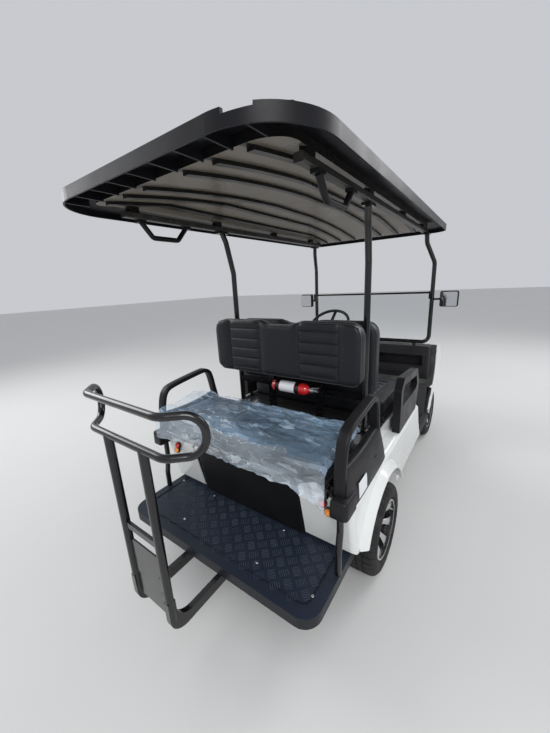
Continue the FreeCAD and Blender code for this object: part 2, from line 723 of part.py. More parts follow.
def make_front_body():
    """White front cowl: a hollow shell open below and behind, with wheel arches."""
    wall = d.body_wall
    off = d.body_off

    def side(inset):
        return [
            (fore(d.cowl_rear_by), d.cowl_top_up - inset),
            (fore(d.cowl_rear_by) + 110, d.cowl_top_up - 18 - inset),
            (fore(d.nose_front_by) - 90, d.nose_up + 60 - inset),
            (fore(d.nose_front_by) - inset, d.nose_up - 60),
            (fore(d.nose_front_by) - inset, d.bumper_up + d.bumper_height + 30),
            (fore(d.nose_front_by) - 16 - inset, BUMPER_TOP + d.fit_gap),
            (fore(d.cowl_rear_by) - 140, BUMPER_TOP + d.fit_gap),
            (fore(d.cowl_rear_by) - 128, d.sill_up + 160),
            (fore(d.cowl_rear_by), d.dash_bottom_up + 60),
        ]

    def plan(inset):
        return [
            (fore(d.cowl_rear_by) - 160, -off + inset), (ahead(d.wheelbase) + 130, -off + inset),
            (fore(d.nose_front_by) - 60, -off + 150 + inset * 0.8),
            (fore(d.nose_front_by) + 5 - inset, -off + 260),
            (fore(d.nose_front_by) + 5 - inset, off - 260),
            (fore(d.nose_front_by) - 60, off - 150 - inset * 0.8),
            (ahead(d.wheelbase) + 130, off - inset), (fore(d.cowl_rear_by) - 160, off - inset),
        ]
    solids = []
    for label, inset in (("outer", size(0)), ("inner", wall)):
        slab = profile_body("cowl_side_" + label, "XZ_Plane", side(inset), off * 2 + 20)
        block = profile_body("cowl_plan_" + label, "XY_Plane", plan(inset), size(1400),
                             [(60 - inset, runs_along("Z"))])
        place(block, 0, 0, 700)
        both = common("cowl_" + label, slab, block)
        solids.append(both)
    well = cylinder("front_arch", d.front_arch_radius, off * 2 + 100,
                    (FRONT_AXLE, -off - 50, d.tyre_radius), "Y")
    open_back = box("cowl_open_back", (fore(d.cowl_rear_by) - 200, fore(d.cowl_rear_by) + 1),
                    (-d.dash_off - 6, d.dash_off + 6), (d.sill_up - 40, d.cowl_top_up + 20))
    under = box("cowl_under", (fore(d.cowl_rear_by) - 200, fore(d.nose_front_by) - 60),
                (-off + wall * 5, off - wall * 5), (d.sill_up - 40, d.sill_up + 90))
    lamp_hole = box("lamp_hole", (fore(d.nose_front_by) - 150, fore(d.nose_front_by) + 60),
                    (off - 250, off - 96), (d.nose_up - 130, d.nose_up - 30))
    node("body_front", cut("front_body", solids[0], fuse("front_body_cuts", [
        solids[1], well, open_back, under, lamp_hole,
        mirrored("lamp_hole_other", lamp_hole)])))


def make_headlamps():
    off = d.body_off
    gap = d.fit_gap
    body = box("headlamp_block", (fore(d.nose_front_by) - 140, fore(d.nose_front_by) - 22),
               (off - 250 + gap, off - 96 - gap), (d.nose_up - 130 + gap, d.nose_up - 30 - gap))
    plan = profile_body("headlamp_plan", "XY_Plane", [
        (fore(d.nose_front_by) - 170, off - 280), (fore(d.nose_front_by) - 8, off - 262),
        (fore(d.nose_front_by) - 62, off - 150), (fore(d.nose_front_by) - 118, off - 80),
        (fore(d.nose_front_by) - 200, off - 80)], size(300))
    place(plan, 0, 0, d.nose_up - 80)
    node("headlamps", pair("headlamp_pair", common("headlamp_left", body, plan)))


def make_dash():
    """Black dash with a deep recess each side of the column and a cup shelf."""
    off = d.dash_off
    low = d.dash_bottom_up
    top = d.dash_top_up
    rear = fore(d.dash_rear_by)
    front = fore(d.cowl_rear_by)
    main = profile_body("dash_main", "XZ_Plane", [
        (rear + 46, low), (front - d.fit_gap, low), (front - d.fit_gap, top),
        (rear + 26, top), (rear + 6, top - 26), (rear, top - 90), (rear + 18, low + 60)],
        off * 2, [(18, on_sides(off))])
    recesses = []
    # middle of each recess across the cart, its half width, its height and its floor
    pockets = [("glove", -300, 190, 96, top - 170), ("left", 430, 80, 70, top - 160),
               ("middle", 0, 74, 84, low + 40)]
    for label, middle, half, tall, up in pockets:
        recesses.append(box("dash_recess_" + label, (rear - 40, front - 30),
                            (size(middle) - half, size(middle) + half), (up, up + tall)))
    tilt = math.radians(float(d.column_tilt))
    hole = doc.addObject("Part::Cylinder", "column_hole")
    bind(hole, "Radius", d.column_radius + d.fit_gap)
    bind(hole, "Height", 900)
    hole.Placement = Placement(vec(fore(d.wheel_by), d.wheel_off, d.wheel_up),
                               Rotation(Vector(0, 0, 1),
                                        Vector(math.cos(tilt), 0, -math.sin(tilt))))
    hole_limit = box("column_hole_limit", (rear - 60, front - 30), (size(0), off),
                     (low + 10, top + 40))
    recesses.append(common("column_hole_part", hole, hole_limit))
    node("dash", cut("dash_solid", main, fuse("dash_recesses", recesses)))


def make_floor():
    """Floor pan with its toe board and a raised sill along each side."""
    up = d.floor_up
    thick = d.floor_thickness
    start = ahead(d.sill_front_at) + 4
    pan = profile_body("floor_main", "XZ_Plane", [
        (start, up), (fore(d.toe_start_by), up), (fore(d.toe_end_by), d.toe_top_up),
        (fore(d.toe_end_by) - thick, d.toe_top_up), (fore(d.toe_start_by) - thick, up + thick),
        (start, up + thick)], d.floor_off * 2 - 60)
    sill = profile_body("sill_left", "YZ_Plane", [
        (d.floor_off - 36, up - 40), (d.floor_off, up - 34), (d.floor_off + 8, up + 8),
        (d.floor_off, up + 26), (d.floor_off - 36, up + 26)],
        fore(d.toe_start_by) - start)
    place(sill, (fore(d.toe_start_by) + start) / 2, 0, 0)
    riser = box("floor_riser", (start, start + thick),
                (-d.floor_off + 30, d.floor_off - 30), (up, up + 60))
    node("floor_pan", fuse("floor", [pan, sill, mirrored("sill_right", sill), riser]))


def make_bumper():
    front = CART_FRONT
    half = d.bumper_off
    low = d.bumper_up - 40
    plan = profile_body("bumper_plan", "XY_Plane", [
        (front - d.bumper_depth, -half * 0.55), (front - d.bumper_depth - 34, -half),
        (front - d.bumper_depth + 8, -half), (front, -half * 0.6), (front, half * 0.6),
        (front - d.bumper_depth + 8, half), (front - d.bumper_depth - 34, half),
        (front - d.bumper_depth, half * 0.55)], d.bumper_height,
        [(size(30), lambda edge: runs_along("Z")(edge)
          and edge.BoundBox.XMax > float(front) - 1)])
    place(plan, 0, 0, low + d.bumper_height / 2)
    mount = box("bumper_mount", (RAIL_FRONT + d.fit_gap, front
                                 - d.bumper_depth + 10),
                (-d.nose_rail_off - 20, d.nose_rail_off + 20),
                (d.front_rail_up + 8, d.front_rail_up + 62))
    node("front_bumper", fuse("bumper", [plan, mount]))


def make_tail_lamps():
    """Round lamps in the rear panel, a red one above an amber one at each side."""
    lamps = []
    lean = math.degrees(math.atan2(float(d.body_rear_at - d.body_tail_at),
                                   float(d.deck_up - 22 - d.body_tail_up)))
    # height above the ground and distance from the centre plane
    for label, up, off in (("amber", 556, 468), ("red", 616, 468)):
        share = (up - d.body_tail_up) / (d.deck_up - 22 - d.body_tail_up)
        x = ahead(d.body_tail_at) + (d.body_rear_at - d.body_tail_at) * share
        for side in (1, -1):
            lamp = doc.addObject("Part::Cylinder", "lamp_%s_%d" % (label, side))
            bind(lamp, "Radius", 27)
            bind(lamp, "Height", 14)
            tilt = Rotation(Vector(0, 1, 0), -90 + lean)
            place(lamp, x - d.fit_gap, side * size(off), up, tilt)
            lamps.append(lamp)
    node("tail_lamps", group("tail_lamp_set", lamps))


def roof_plan(name, inset, corner, low, high):
    """The canopy's plan, drawn in by inset, as a prism between two heights."""
    rear = ahead(d.roof_rear_at) + inset
    front = fore(d.roof_front_by) - inset
    half = d.roof_off - inset
    plan = profile_body(name, "XY_Plane", [
        (rear, -half), (rear, half), (front, half), (front, -half)], high - low,
        [(corner, lambda edge: runs_along("Z")(edge) and edge.BoundBox.XMin < 0),
         (d.roof_front_corner - inset * 0.5, lambda edge: runs_along("Z")(edge)
          and edge.BoundBox.XMin > float(front) - 1)])
    place(plan, 0, 0, (low + high) / 2)
    return plan


def crowned(low, high, across, reach):
    """A face that is flat below and arched above, between two edges of the same height."""
    base = float(high) - float(d.roof_rise) + float(d.roof_rim_depth)
    first, last = (float(value) for value in across)
    middle = (first + last) / 2
    arc = Part.Arc(reach(last, base), reach(middle, float(high)), reach(first, base)).toShape()
    corners = [reach(first, base), reach(first, float(low)), reach(last, float(low)),
               reach(last, base)]
    edges = [arc]
    for begin, end in zip(corners, corners[1:]):
        edges.append(Part.makeLine(begin, end))
    return Part.Face(Part.Wire(edges))


def roof_solid(name, inset, corner, drop):
    """The canopy's outer form, crowned both ways, drawn in by inset and lowered by drop."""
    rear = ahead(d.roof_rear_at)
    front = fore(d.roof_front_by)
    half = d.roof_off
    low = d.roof_rim_up if drop.value == 0 else d.roof_rim_up - 80
    plan = roof_plan(name + "_plan", inset, corner, d.roof_rim_up - 60, ROOF_CROWN_UP + 60)
    crown = ROOF_CROWN_UP - drop
    across = crowned(low - 5, crown, (-half, half), lambda y, z: Vector(0, y, z))
    across = across.extrude(Vector(float(front - rear) + 200, 0, 0))
    across.translate(Vector(float(rear) - 100, 0, 0))
    along = crowned(low, crown, (rear, front), lambda x, z: Vector(x, 0, z))
    along = along.extrude(Vector(0, float(half) * 2 + 200, 0))
    along.translate(Vector(0, -float(half) - 100, 0))
    return common(name, common(name + "_part", plan, shape_object(name + "_cross", across)),
                  shape_object(name + "_long", along))


def make_roof():
    """Canopy shell with a gutter lip, its ribbed liner, and the pockets between them."""
    wall = d.roof_wall
    none = size(0)
    outer = roof_solid("roof_outer", none, d.roof_corner, none)
    inner = roof_solid("roof_inner", wall, d.roof_corner - wall, wall)
    shell = cut("roof_hollow", outer, inner)
    rear = ahead(d.roof_rear_at)
    low = d.roof_rim_up
    ribs = []
    count = int(d.pocket_count.value)
    span = (d.roof_off - d.roof_corner * 0.6) * 2
    for number in range(count + 1):
        y = -span / 2 + span * number / count
        ribs.append(box("pocket_rib_%d" % number,
                        (rear + wall * 0.5, rear + d.liner_inset - d.fit_gap),
                        (y - d.pocket_rib / 2, y + d.pocket_rib / 2),
                        (low + 6, ROOF_CROWN_UP)))
    trimmed = common("pocket_ribs_trimmed", fuse("pocket_ribs", ribs), outer)
    edge_up = low + d.roof_rim_depth
    lip = cut("roof_lip_ring",
              roof_plan("roof_lip_outer", none, d.roof_corner, edge_up - 8,
                        edge_up + d.roof_lip),
              roof_plan("roof_lip_inner", d.roof_lip_wall, d.roof_corner - d.roof_lip_wall,
                        edge_up - 20, edge_up + d.roof_lip + 20))
    outlets = []
    for side in (1, -1):
        y = side * d.outlet_off
        outlets.append(box("roof_outlet_%d" % side, (rear - 20, rear + 40),
                           (y - d.outlet_width / 2, y + d.outlet_width / 2),
                           (edge_up, edge_up + d.roof_lip + 20)))
    lip = cut("roof_lip_open", lip, fuse("roof_outlets", outlets))
    node("roof_shell", fuse("roof_shell_solid", [shell, trimmed, lip]))
    node("roof_liner", make_liner())


def make_liner():
    """Thin crowned panel inside the canopy, with an upright wall and long ribs below it."""
    inset = d.liner_inset
    corner = d.liner_corner
    thick = d.liner_thickness
    drop = d.liner_drop
    below = roof_solid("liner_low", inset, corner, drop + thick)
    panel = cut("liner_panel", roof_solid("liner_top", inset, corner, drop), below)
    wall = cut("liner_wall_ring",
               roof_solid("liner_wall_outer", inset, corner, d.roof_wall + d.fit_gap),
               roof_plan("liner_wall_inner", inset + thick, corner - thick,
                         d.roof_rim_up - 100, ROOF_CROWN_UP + 100))
    wall = cut("liner_wall", wall, below)
    layer = cut("liner_rib_layer", roof_solid("liner_rib_top", inset + 14, corner - 14,
                                              drop + 1),
                roof_solid("liner_rib_low", inset + 14, corner - 14,
                           drop + thick + d.liner_rib_height))
    strips = []
    # distance of each rib from the centre plane
    for number, middle in enumerate((-370, -240, -110, 110, 240, 370)):
        strips.append(box("liner_strip_%d" % number,
                          (ahead(d.roof_rear_at) + 150, fore(d.roof_front_by) - 150),
                          (middle - d.liner_rib_width / 2, middle + d.liner_rib_width / 2),
                          (d.roof_rim_up - 90, ROOF_CROWN_UP + 20)))
    ribs = common("liner_ribs", layer, fuse("liner_strips", strips))
    blocks = []
    seat = ROOF_RAIL_UP + d.roof_rail_depth + d.fit_gap
    # distance of each seating block forward from the rear axle
    for number, station in enumerate((-470, 60, 640, 1200)):
        for side in (1, -1):
            y = side * d.roof_rail_off
            blocks.append(box("liner_block_%d_%d" % (number, side + 1),
                              (ahead(station) - 25, ahead(station) + 25), (y - 15, y + 12),
                              (seat, ROOF_CROWN_UP)))
    seats = common("liner_blocks_trimmed", fuse("liner_blocks", blocks), below)
    return fuse("roof_liner_solid", [panel, wall, ribs, seats])


def make_roof_rails():
    low = ROOF_RAIL_UP
    top = low + d.roof_rail_depth
    rail = box("roof_rail_left", (ahead(d.roof_rail_rear_at), fore(d.roof_front_by) - 130),
               (d.roof_rail_off - d.roof_rail_width / 2, d.roof_rail_off
                + d.roof_rail_width / 2), (low, top))
    node("roof_rails", pair("roof_rail_pair", round_edges("roof_rail_round", rail, 5,
                                                          runs_along("X"))))


def make_roof_handles():
    """Moulded loops that hang from the roof rails above the rear seat."""
    top = ROOF_RAIL_UP - d.fit_gap
    off = d.roof_rail_off + 12
    handle = tube("roof_handle_left", [
        (ahead(-425), off, top - 9), (ahead(-372), off, top - 72),
        (ahead(-226), off, top - 72), (ahead(-168), off, top - 9)], 26, 12)
    pads = []
    for number, station in enumerate((-428, -165)):
        pads.append(box("roof_handle_pad_%d" % number, (ahead(station) - 22,
                                                        ahead(station) + 22),
                        (off - 15, off + 15), (top - 12, top)))
    node("roof_handles", pair("roof_handle_pair", fuse("roof_handle", [handle] + pads)))


def make_struts():
    """Rear struts stand between the seat backs and bend back into the roof rails."""
    x = ahead(d.rear_strut_at)
    off = d.rear_strut_off
    rail_under = ROOF_RAIL_UP - d.fit_gap
    rear = tube("rear_strut_left", [
        (x, off, d.deck_up + 4), (x, off, rail_under - 240),
        (x - 40, off + 6, rail_under - 60), (x - 60, off + 12, rail_under - 9)],
        60, d.strut_radius)
    foot = box("rear_strut_foot", (x - 30, x + 30), (off - 26, off + 26),
               (d.deck_up, d.deck_up + 14))
    plate = box("rear_strut_head", (x - 100, x - 24), (off - 6, off + 34),
                (rail_under - 13, rail_under))
    node("rear_struts", pair("rear_strut_pair", fuse("rear_strut", [rear, foot, plate])))


def make_windscreen():
    """Bent front struts joined by a bottom bar, with the screen folded in half."""
    x = fore(d.front_strut_by)
    off = d.front_strut_off
    top = ROOF_RAIL_UP - d.fit_gap
    low = d.screen_bottom_up
    frame = tube("screen_frame_line_set", [
        (x - 120, -off + 50, top - 5), (x - 114, -off + 46, top - 70), (x, -off, top - 210),
        (x, -off, low), (x, off, low), (x, off, top - 210), (x - 114, off - 46, top - 70),
        (x - 120, off - 50, top - 5)], 56, d.strut_radius)
    legs = []
    for side in (1, -1):
        y = side * (off - 110)
        legs.append(cylinder("screen_leg_%d" % side, 13, low - d.dash_top_up - d.fit_gap,
                             (x, y, d.dash_top_up + d.fit_gap), "Z"))
        legs.append(box("screen_head_%d" % side, (x - 160, x - 84),
                        (side * (off - 50) - 20, side * (off - 50) + 20), (top - 13, top)))
    wide = off - d.strut_radius - 6
    panes = []
    sheet_x = x - d.screen_thickness / 2
    for label, shift in (("lower", size(0)), ("upper", -d.screen_gap)):
        pane = box("screen_" + label, (sheet_x + shift, sheet_x + shift
                                       + d.screen_thickness),
                   (-wide, wide), (low + d.strut_radius + d.fit_gap, d.screen_fold_up))
        panes.append(round_edges("screen_round_" + label, pane, 40, runs_along("X")))
    hinge = cylinder("screen_hinge", 8, off * 2,
                     (x - d.screen_gap / 2, -off, d.screen_fold_up + 7.2 + d.fit_gap), "Y")
    node("windscreen", group("windscreen_panes", panes))
    clips = [hinge]
    for side in (1, -1):
        y = side * (off - 4)
        clips.append(box("screen_clip_%d" % side, (x - 40, x - 10), (y - 15, y + 15),
                         (d.screen_fold_up - 40, d.screen_fold_up + 20)))
    node("windscreen_frame", fuse("windscreen_frame_solid", [frame] + legs + clips))


def seat_back(name, top_up, bottom_up, thickness):
    """Bench back with two raised shoulders and a dip in the middle."""
    half = d.seat_off
    return profile_body(name, "YZ_Plane", [
        (-half, bottom_up + 40), (-half + 50, bottom_up), (half - 50, bottom_up),
        (half, bottom_up + 40), (half, top_up - 60), (half - 60, top_up),
        (90, top_up), (40, top_up - 18), (-40, top_up - 18), (-90, top_up),
        (-half + 60, top_up), (-half, top_up - 60)], thickness,
        [(d.seat_corner, lambda edge: edge.BoundBox.XLength < 0.01)])


def make_seats():
    rear_back = seat_back("rear_back", d.back_top_up, d.back_bottom_up, d.back_thickness)
    place(rear_back, ahead(d.back_rear_at) + d.back_thickness / 2, 0, 0)
    node("rear_seat_back", rear_back)
    front_back = seat_back("front_back", d.back_top_up - 20, d.back_bottom_up - 110,
                           d.back_thickness)
    place(front_back, ahead(d.front_back_front_at) - d.back_thickness / 2, 0, 0)
    node("front_seat_back", front_back)
    low = d.rear_deck_up + d.fit_gap
    cushion = box("rear_cushion_plain", (ahead(d.rear_cushion_at),
                                         ahead(d.rear_cushion_at) + d.rear_cushion_length),
                  (-d.cushion_off, d.cushion_off), (low, low + d.cushion_thickness))
    soft = round_edges("rear_cushion", cushion, d.seat_corner, lambda edge: True)
    node("rear_seat_cushion", soft)
    low = FRONT_PAN_UP + d.seat_pan + d.fit_gap
    cushion = box("front_cushion_plain", (ahead(d.front_cushion_at),
                                          ahead(d.front_cushion_at)
                                          + d.front_cushion_length),
                  (-d.cushion_off, d.cushion_off), (low, low + d.cushion_thickness))
    node("front_seat_cushion", round_edges("front_cushion", cushion, d.seat_corner,
                                           lambda edge: True))
    half = d.cushion_off - 10
    pan = box("front_pan_plate", (FRONT_HINGE_X, ahead(d.front_cushion_at)
                                  + d.front_cushion_length - 6),
              (-half, half), (FRONT_PAN_UP, FRONT_PAN_UP + d.seat_pan))
    pins = []
    for side in (1, -1):
        start = half - 8 if side > 0 else -half - 20
        pins.append(cylinder("front_pan_pin_%d" % side, d.hinge_pin_radius, 28,
                             (FRONT_HINGE_X, start, FRONT_HINGE_Z), "Y"))
    node("front_seat_pan", fuse("front_pan", [pan] + pins))


def make_seat_frames():
    """Steel that carries both seat backs, and the frame under the rear seat."""
    x = ahead(d.rear_strut_at)
    gap = d.fit_gap
    bars = []
    # height of each cross bar
    for label, up in (("low", 846), ("high", 1010)):
        bars.append(box("back_bar_" + label, (x - 15, x + 15),
                        (-d.rear_strut_off + d.strut_radius + gap,
                         d.rear_strut_off - d.strut_radius - gap), (up, up + 30)))
    rear_face = ahead(d.back_rear_at) + d.back_thickness + gap
    front_face = ahead(d.front_back_front_at) - d.back_thickness - gap
    for side in (1, -1):
        y = side * size(170)
        bars.append(box("back_post_%d" % side, (x - 14, x + 14), (y - 20, y + 20),
                        (d.deck_up, d.back_post_top_up)))
        bars.append(box("back_pad_%d" % side, (rear_face, front_face), (y - 30, y + 30),
                        (d.back_pad_up, d.back_pad_up + d.back_pad_height)))
    ears = []
    for side in (1, -1):
        y = side * (d.cushion_off + 4)
        ear = box("front_ear_%d" % side, (FRONT_HINGE_X - 22, FRONT_HINGE_X + 12),
                  (y - 4, y + 4), (d.deck_up + gap, FRONT_HINGE_Z + 12))
        hole = cylinder("front_ear_hole_%d" % side, d.hinge_pin_radius + gap, 40,
                        (FRONT_HINGE_X, y - 20, FRONT_HINGE_Z), "Y")
        ears.append(cut("front_ear_cut_%d" % side, ear, hole))
    node("seat_back_frame", group("seat_back_frame_set",
                                  [fuse("seat_back_frame_solid", bars)] + ears + make_straps()))
    under = d.rear_deck_up - d.deck_plate - gap
    parts = []
    for side in (1, -1):
        y = side * size(395)
        parts.append(box("rear_seat_rail_%d" % side, (ahead(-430), ahead(-40)),
                         (y - 15, y + 15), (d.deck_up, under)))
        ear_y = side * (d.cushion_off + 14)
        ear = box("rear_seat_ear_%d" % side, (HINGE_X - 12, HINGE_X + 22),
                  (ear_y - 5, ear_y + 5), (under - 30, d.rear_deck_up + 8))
        hole = cylinder("rear_seat_ear_hole_%d" % side, d.hinge_pin_radius + d.fit_gap, 40,
                        (HINGE_X, ear_y - 20, HINGE_Z), "Y")
        parts.append(cut("rear_seat_ear_cut_%d" % side, ear, hole))
    parts.append(box("rear_seat_cross", (HINGE_X + 12, HINGE_X + 38),
                     (-d.cushion_off - 30, d.cushion_off + 30), (under - 30, under)))
    parts.append(box("rear_seat_cross_front", (ahead(-80), ahead(-50)), (size(-410), size(410)),
                     (d.deck_up, under)))
    frame = fuse("rear_seat_frame_solid", parts)
    stays = []
    for side in (1, -1):
        y = side * d.stay_off
        stays.append(tube("step_stay_%d" % side, [
            (ahead(-426), y, d.shoulder_up - gap), (ahead(-426), y, 520),
            (ahead(-444), y, 420), (ahead(-444), y, d.step_up + gap)], 60, 14))
    node("rear_seat_frame", group("rear_seat_frame_set", [frame] + stays))
    deck = box("rear_deck_plate", (ahead(d.rear_cushion_at) - 12,
                                   ahead(d.rear_cushion_at) + d.rear_cushion_length),
               (-d.cushion_off, d.cushion_off), (d.rear_deck_up - d.deck_plate, d.rear_deck_up))
    soft = round_edges("rear_deck", deck, 5, runs_along("Y"))
    pins = []
    for side in (1, -1):
        start = d.cushion_off - 4 if side > 0 else -d.cushion_off - 20
        pins.append(cylinder("rear_deck_pin_%d" % side, d.hinge_pin_radius, 24,
                             (HINGE_X, start, HINGE_Z), "Y"))
    node("rear_seat_deck", fuse("rear_deck_solid", [soft] + pins))


def make_armrests():
    """Moulded rear armrests with an open hoop, and the front hip rails."""
    off = d.armrest_off
    rear = ahead(d.armrest_rear_at)
    front = ahead(d.armrest_front_at)
    tall = d.armrest_height
    base = d.shoulder_up + d.fit_gap
    top = base + tall
    outer = profile_body("armrest_outer", "XZ_Plane", [
        (rear, base), (front, base), (front - 55, base + tall * 0.93), (front - 115, top),
        (rear + 62, base + tall * 0.9)], d.armrest_width,
        [(52, lambda edge: runs_along("Y")(edge)
          and edge.BoundBox.ZMin > float(base + tall * 0.5))])
    inner = profile_body("armrest_inner", "XZ_Plane", [
        (rear + 60, base + tall * 0.5), (front - 58, base + tall * 0.5),
        (front - 80, base + tall * 0.87), (front - 120, base + tall * 0.925),
        (rear + 86, base + tall * 0.83)], d.armrest_width + 20,
        [(size(22), runs_along("Y"))])
    hoop = round_edges("armrest_hoop", cut("armrest_open", outer, inner), 9,
                       lambda edge: on_sides(d.armrest_width / 2)(edge))
    place(hoop, 0, off, 0)
    inside = off - d.armrest_width / 2 + 6
    face = off + d.armrest_width / 2
    web_top = base + tall * 0.48
    bulge = profile_body("armrest_bulge", "YZ_Plane", [
        (inside, base), (face + d.web_bulge, base),
        (face + d.web_bulge, base + 40), (face - 2, web_top), (inside, web_top)],
        front - rear + 20)
    place(bulge, (front + rear) / 2, 0, 0)
    web_side = profile_body("armrest_web_side", "XZ_Plane", [
        (rear + 2, base), (front - 2, base), (front - 28, web_top), (rear + 30, web_top)], 400)
    place(web_side, 0, off, 0)
    web = common("armrest_web", bulge, web_side)
    foot = round_edges("armrest_foot", box(
        "armrest_foot_box", (rear - d.foot_reach, rear + d.foot_length - d.foot_reach),
        (inside - 6, face + d.web_bulge + 4), (base, base + d.foot_height)), 8,
        lambda edge: edge.BoundBox.ZMax > float(base) + 1)
    rest = fuse("armrest_solid", [hoop, web, foot])
    node("rear_armrests", pair("armrest_pair", rest))
    rear = ahead(d.hip_rear_at)
    front = ahead(d.hip_front_at)
    tall = d.hip_height
    top = base + tall
    outer = profile_body("hip_outer", "XZ_Plane", [
        (rear, base), (front - 60, base), (front, base + tall * 0.45),
        (front, base + tall * 0.58), (front - 60, base + tall * 0.9), (rear + 60, top),
        (rear, base + tall * 0.81)], d.armrest_width - 6,
        [(34, lambda edge: runs_along("Y")(edge)
          and edge.BoundBox.ZMin > float(base + tall * 0.46))])
    inner = profile_body("hip_inner", "XZ_Plane", [
        (rear + 40, base + tall * 0.48), (front - 84, base + tall * 0.48),
        (front - 48, base + tall * 0.55), (front - 88, base + tall * 0.77),
        (rear + 70, base + tall * 0.86), (rear + 40, base + tall * 0.76)],
        d.armrest_width + 20, [(size(12), runs_along("Y"))])
    rail = cut("hip_rail", outer, inner)
    place(rail, 0, d.hip_off, 0)
    node("front_hip_rails", pair("hip_rail_pair", rail))


def make_tub():
    """Open storage tub under the rear seat."""
    half = d.tub_off
    rear = ahead(d.tub_rear_at) - 55
    front = ahead(d.rail_rear_at) + 320
    top = d.deck_up - 2
    floor = d.rear_rail_up + d.rail_depth + d.fit_gap
    skirt = d.step_up + d.moving_gap
    skirt_front = ahead(d.rail_rear_at) - 4
    wall = d.tub_wall
    outer = profile_body("tub_outer", "XZ_Plane", [
        (rear + 40, skirt), (skirt_front, skirt), (skirt_front, floor), (front, floor),
        (front, top), (rear, top)], half * 2,
        [(size(26), lambda edge: edge.BoundBox.XMax < float(rear) + 41
          and edge.BoundBox.YLength < 0.01 and edge.BoundBox.ZLength > 100)])
    inner = profile_body("tub_inner", "XZ_Plane", [
        (rear + 32 + wall, floor + wall), (front - wall, floor + wall),
        (front - wall, top + 20), (rear + wall, top + 20)], (half - wall) * 2,
        [(size(26) - wall, lambda edge: edge.BoundBox.XMax < float(rear) + 41
          and edge.BoundBox.YLength < 0.01 and edge.BoundBox.ZLength > 100)])
    node("storage_tub", cut("tub", outer, inner))


def make_step():
    """Moulded step plate with a deep rim, open below and ribbed."""
    rear = ahead(d.step_rear_at)
    front = ahead(d.step_front_at)
    half = d.step_off
    up = d.step_up

    def plan(inset):
        return [(rear + inset, -half + inset), (rear + inset, half - inset),
                (front - inset, half - inset), (front - inset, -half + inset)]

    def rear_corner(edge):
        return runs_along("Z")(edge) and edge.BoundBox.XMax < float(rear) + 60
    outer = profile_body("step_outer", "XY_Plane", plan(size(0)), d.step_rim,
                         [(d.step_corner, rear_corner)])
    place(outer, 0, 0, up - d.step_rim / 2)
    inner = profile_body("step_inner", "XY_Plane", plan(d.step_thickness), d.step_rim,
                         [(d.step_corner - d.step_thickness, rear_corner)])
    place(inner, 0, 0, up - d.step_rim / 2 - d.step_thickness)
    groove_outer = profile_body("step_groove_outer", "XY_Plane", plan(size(46)), size(8),
                                [(d.step_corner - 40, rear_corner)])
    place(groove_outer, 0, 0, up)
    groove_inner = profile_body("step_groove_inner", "XY_Plane", plan(size(56)), size(12),
                                [(d.step_corner - 50, rear_corner)])
    place(groove_inner, 0, 0, up)
    groove = cut("step_groove", groove_outer, groove_inner)
    tray = cut("step_tray", outer, fuse("step_cuts", [inner, groove]))
    ribs = []
    for number in range(4):
        y = size(-330 + 220 * number)
        ribs.append(box("step_rib_%d" % number, (rear + 4, front - 4), (y - 3, y + 3),
                        (up - d.step_rim, up - d.step_thickness + 1)))
    node("footplate", fuse("step", [tray] + ribs))


def step_beams():
    """Beams that carry the step, hung from the rear ends of the rails."""
    rear = ahead(d.step_rear_at)
    hang = ahead(d.step_front_at) + 4
    beams = []
    for side in (1, -1):
        y = side * size(205)
        beams.append(box("step_beam_%d" % side, (rear + 60, hang + 40), (y - 16, y + 16),
                         (BEAM_UP - BEAM_DEPTH, BEAM_UP)))
        reach = (y - 16, y + 22) if side > 0 else (y - 22, y + 16)
        beams.append(box("step_hanger_%d" % side, (hang, hang + 40), reach,
                         (BEAM_UP - BEAM_DEPTH, d.rear_rail_up + 56)))
    beams.append(box("step_cross", (rear + 64, rear + 104), (size(-320), size(320)),
                     (BEAM_UP - d.step_cross_depth, BEAM_UP)))
    return beams


